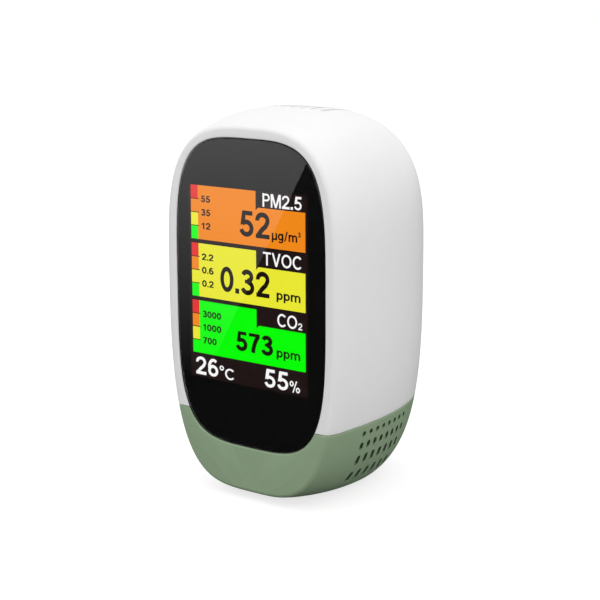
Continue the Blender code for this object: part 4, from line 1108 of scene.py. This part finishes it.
# --- Small outside pieces ---
def rubber_feet(material):
    """Round feet, hollowed a little underneath."""
    profile = [
        (FOOT_RADIUS * 0.55, 0.25 * MM),
        (FOOT_RADIUS * 0.62, 0.0),
        (FOOT_RADIUS - 0.45 * MM, 0.0),
        (FOOT_RADIUS - 0.15 * MM, 0.1 * MM),
        (FOOT_RADIUS, 0.4 * MM),
        (FOOT_RADIUS, FOOT_TOP),
        (FOOT_RADIUS * 0.5, FOOT_TOP),
    ]
    for number, (x, depth) in enumerate(FEET, 1):
        pad = lathe(f"rubber_pad_{number}", profile, (x, at_depth(depth), 0.0))
        finish_piece(pad, material, "monitor", "rubber", f"rubber_foot_{number}")


def button_cap(material):
    """The power button's cap, dished, with a ring and bar cut into it."""
    low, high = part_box("power_button")
    length = high.y - low.y
    profile = [
        (BUTTON_RADIUS + BUTTON_FLANGE, 0.0),
        (BUTTON_RADIUS + BUTTON_FLANGE, length - BUTTON_SHAFT),
        (BUTTON_RADIUS, length - BUTTON_SHAFT),
        (BUTTON_RADIUS, length - 0.5 * MM),
        (BUTTON_RADIUS - 0.06 * MM, length - 0.28 * MM),
        (BUTTON_RADIUS - 0.2 * MM, length - 0.1 * MM),
        (BUTTON_RADIUS - 0.45 * MM, length),
        (BUTTON_RADIUS - 0.8 * MM, length),
        (BUTTON_RADIUS - 1.2 * MM, length - 0.1 * MM),
        (0.4 * MM, length - 0.22 * MM),
    ]
    cap = lathe("button_cap", profile, (0.0, low.y, BUTTON_HEIGHT), "Y")
    bm = bmesh.new()
    front, back = high.y - 0.5 * MM, high.y + 0.5 * MM
    symbol = stroke(arc(0, 0, SYMBOL_RADIUS, SYMBOL_RADIUS, 130, 410, 40), SYMBOL_STROKE)
    add_prism(bm, [(x * MM, BUTTON_HEIGHT + z * MM) for x, z in symbol], "Y", front, back)
    half = SYMBOL_STROKE / 2 * MM
    mark = rectangle(-half, half, BUTTON_HEIGHT + 0.35 * MM, BUTTON_HEIGHT + 1.5 * MM)
    add_prism(bm, mark, "Y", front, back)
    combine(cap, bm)
    finish_piece(cap, material, "button", "white_plastic", "power_button")


# --- Studio ---
def stage_plane(name, height, material, camera=False, diffuse=False, glossy=False):
    """A floor that only the kinds of ray given meet."""
    bm = bmesh.new()
    matrix = Matrix.Translation((0, 0, height))
    bmesh.ops.create_grid(bm, x_segments=1, y_segments=1, size=FLOOR_REACH, matrix=matrix)
    plane = make_object(name, bm)
    plane.data.materials.append(material)
    plane.visible_camera = camera
    plane.visible_diffuse = diffuse
    plane.visible_glossy = glossy
    plane.visible_transmission = glossy
    plane.visible_shadow = False


def plain(name, tone, emission=0.0):
    """A matt grey, which may glow."""
    colour = (tone, tone, tone)
    material = bpy.data.materials.new(name)
    material.use_nodes = True
    shader = material.node_tree.nodes["Principled BSDF"]
    shader.inputs["Base Color"].default_value = (*colour, 1)
    shader.inputs["Roughness"].default_value = 1.0
    shader.inputs["Specular IOR Level"].default_value = 0.0
    shader.inputs["Emission Color"].default_value = (*colour, 1)
    shader.inputs["Emission Strength"].default_value = emission
    return material


def seen_in_glass(x, z):
    """Where a card has to be lit for its image to lie at (x, z) on the glass from the camera."""
    glass_y = at_depth(0.05 * MM)
    mirrored = Vector((CAMERA_PLACE.x, 2 * glass_y - CAMERA_PLACE.y, CAMERA_PLACE.z))
    share = (GLOW_CARD_Y - mirrored.y) / (glass_y - mirrored.y)
    return mirrored.x + share * (x - mirrored.x), mirrored.z + share * (z - mirrored.z)


def glow_card():
    """A lit card that only reflections see. Its slanted edge crosses the glass, and it fades downwards."""
    bm = bmesh.new()
    points = [seen_in_glass(x * MM, z * MM) for x, z in GLOW_CORNERS]
    bm.faces.new([bm.verts.new((x, GLOW_CARD_Y, z)) for x, z in points])
    card = make_object("glow_card", bm)
    nodes = Nodes("glow_card")
    low, high = points[0][1], points[2][1]
    coordinates = nodes.add("ShaderNodeTexCoord")
    split = nodes.add("ShaderNodeSeparateXYZ")
    nodes.link(coordinates, "Object", split, "Vector")
    fade = nodes.add("ShaderNodeMapRange", From_Min=low, From_Max=high, To_Min=GLOW_LOW, To_Max=1.0)
    nodes.link(split, "Z", fade, "Value")
    curve = nodes.add("ShaderNodeMath")
    curve.operation = "POWER"
    curve.inputs[1].default_value = GLOW_FALL
    nodes.link(fade, "Result", curve, 0)
    level = nodes.add("ShaderNodeMath")
    level.operation = "MULTIPLY"
    level.inputs[1].default_value = GLOW_TOP
    nodes.link(curve, "Value", level, 0)
    nodes.shader.inputs["Base Color"].default_value = (0, 0, 0, 1)
    nodes.shader.inputs["Specular IOR Level"].default_value = 0.0
    nodes.shader.inputs["Emission Color"].default_value = (1, 1, 1, 1)
    nodes.link(level, "Value", nodes.shader, "Emission Strength")
    card.data.materials.append(nodes.material)
    card.visible_camera = False
    card.visible_diffuse = False
    card.visible_shadow = False
    card.visible_transmission = False


def area_light(name, place, aim, size, power):
    data = bpy.data.lights.new(name, "AREA")
    data.shape = "SQUARE"
    data.size = size
    data.energy = power
    light = bpy.data.objects.new(name, data)
    bpy.context.scene.collection.objects.link(light)
    light.location = place
    light.rotation_euler = (Vector(aim) - Vector(place)).to_track_quat("-Z", "Y").to_euler()
    light.visible_glossy = False


def studio():
    scene = bpy.context.scene
    scene.view_settings.view_transform = "Standard"
    world = bpy.data.worlds.new("studio")
    world.use_nodes = True
    background = world.node_tree.nodes["Background"]
    background.inputs["Color"].default_value = (1, 1, 1, 1)
    background.inputs["Strength"].default_value = 1.0
    scene.world = world
    stage_plane("floor", 0.0, plain("pale_floor", FLOOR_TONE, FLOOR_GLOW), camera=True)
    stage_plane("bounce_floor", -0.5 * MM, plain("bounce_floor", BOUNCE_TONE), diffuse=True)
    stage_plane("reflected_floor", -1.0 * MM, plain("reflected_floor", REFLECTED_TONE), glossy=True)
    for name, place, aim, size, power in LIGHTS:
        area_light(name, place, aim, size, power)


def add_camera():
    data = bpy.data.cameras.new("camera")
    data.lens = CAMERA_LENS
    data.sensor_width = SENSOR_WIDTH
    data.clip_start = CLIP_START
    obj = bpy.data.objects.new("camera", data)
    bpy.context.scene.collection.objects.link(obj)
    turn = Matrix.Rotation(CAMERA_TURN, 4, "Z")
    tilt = Matrix.Rotation(math.pi / 2 - CAMERA_DOWN, 4, "X")
    roll = Matrix.Rotation(CAMERA_ROLL, 4, "Z")
    obj.matrix_world = Matrix.Translation(CAMERA_PLACE) @ turn @ tilt @ roll
    bpy.context.scene.camera = obj


def build():
    add_camera()
    studio()
    glow_card()
    dress_cad_nodes()
    white = textured("white_plastic", WHITE, 0.42, 2600.0, 0.10, vary=0.008)
    green = textured("green_plastic", GREEN, 0.45, 2600.0, 0.12, vary=0.02)
    rubber = textured("rubber", RUBBER, 0.8, 3500.0, 0.5, vary=0.2)
    finish_piece(housing_shell(), white, "monitor", "white_plastic", "upper_housing")
    base = green_base()
    finish_piece(base, green, "monitor", "green_plastic", "base_shell")
    # Painted shade: the walls inside the vents get a darker green than the rest of the base.
    paint_vent_shade(base, textured("green_vent_painted_shade", VENT_SHADE_GREEN, 0.6, 2600.0, 0.12, vary=0.02))
    finish_piece(cover_glass(), glass_material(), "monitor", "front_glass", "front_glass")
    ink = textured("border_ink", INK, 0.5, 4000.0, 0.1, Specular_IOR_Level=0.0)
    finish_piece(border_print(), ink, "monitor", "front_glass")
    coloured_blocks()
    scale_ticks()
    readout_figures()
    rubber_feet(rubber)
    button_cap(white)


build()
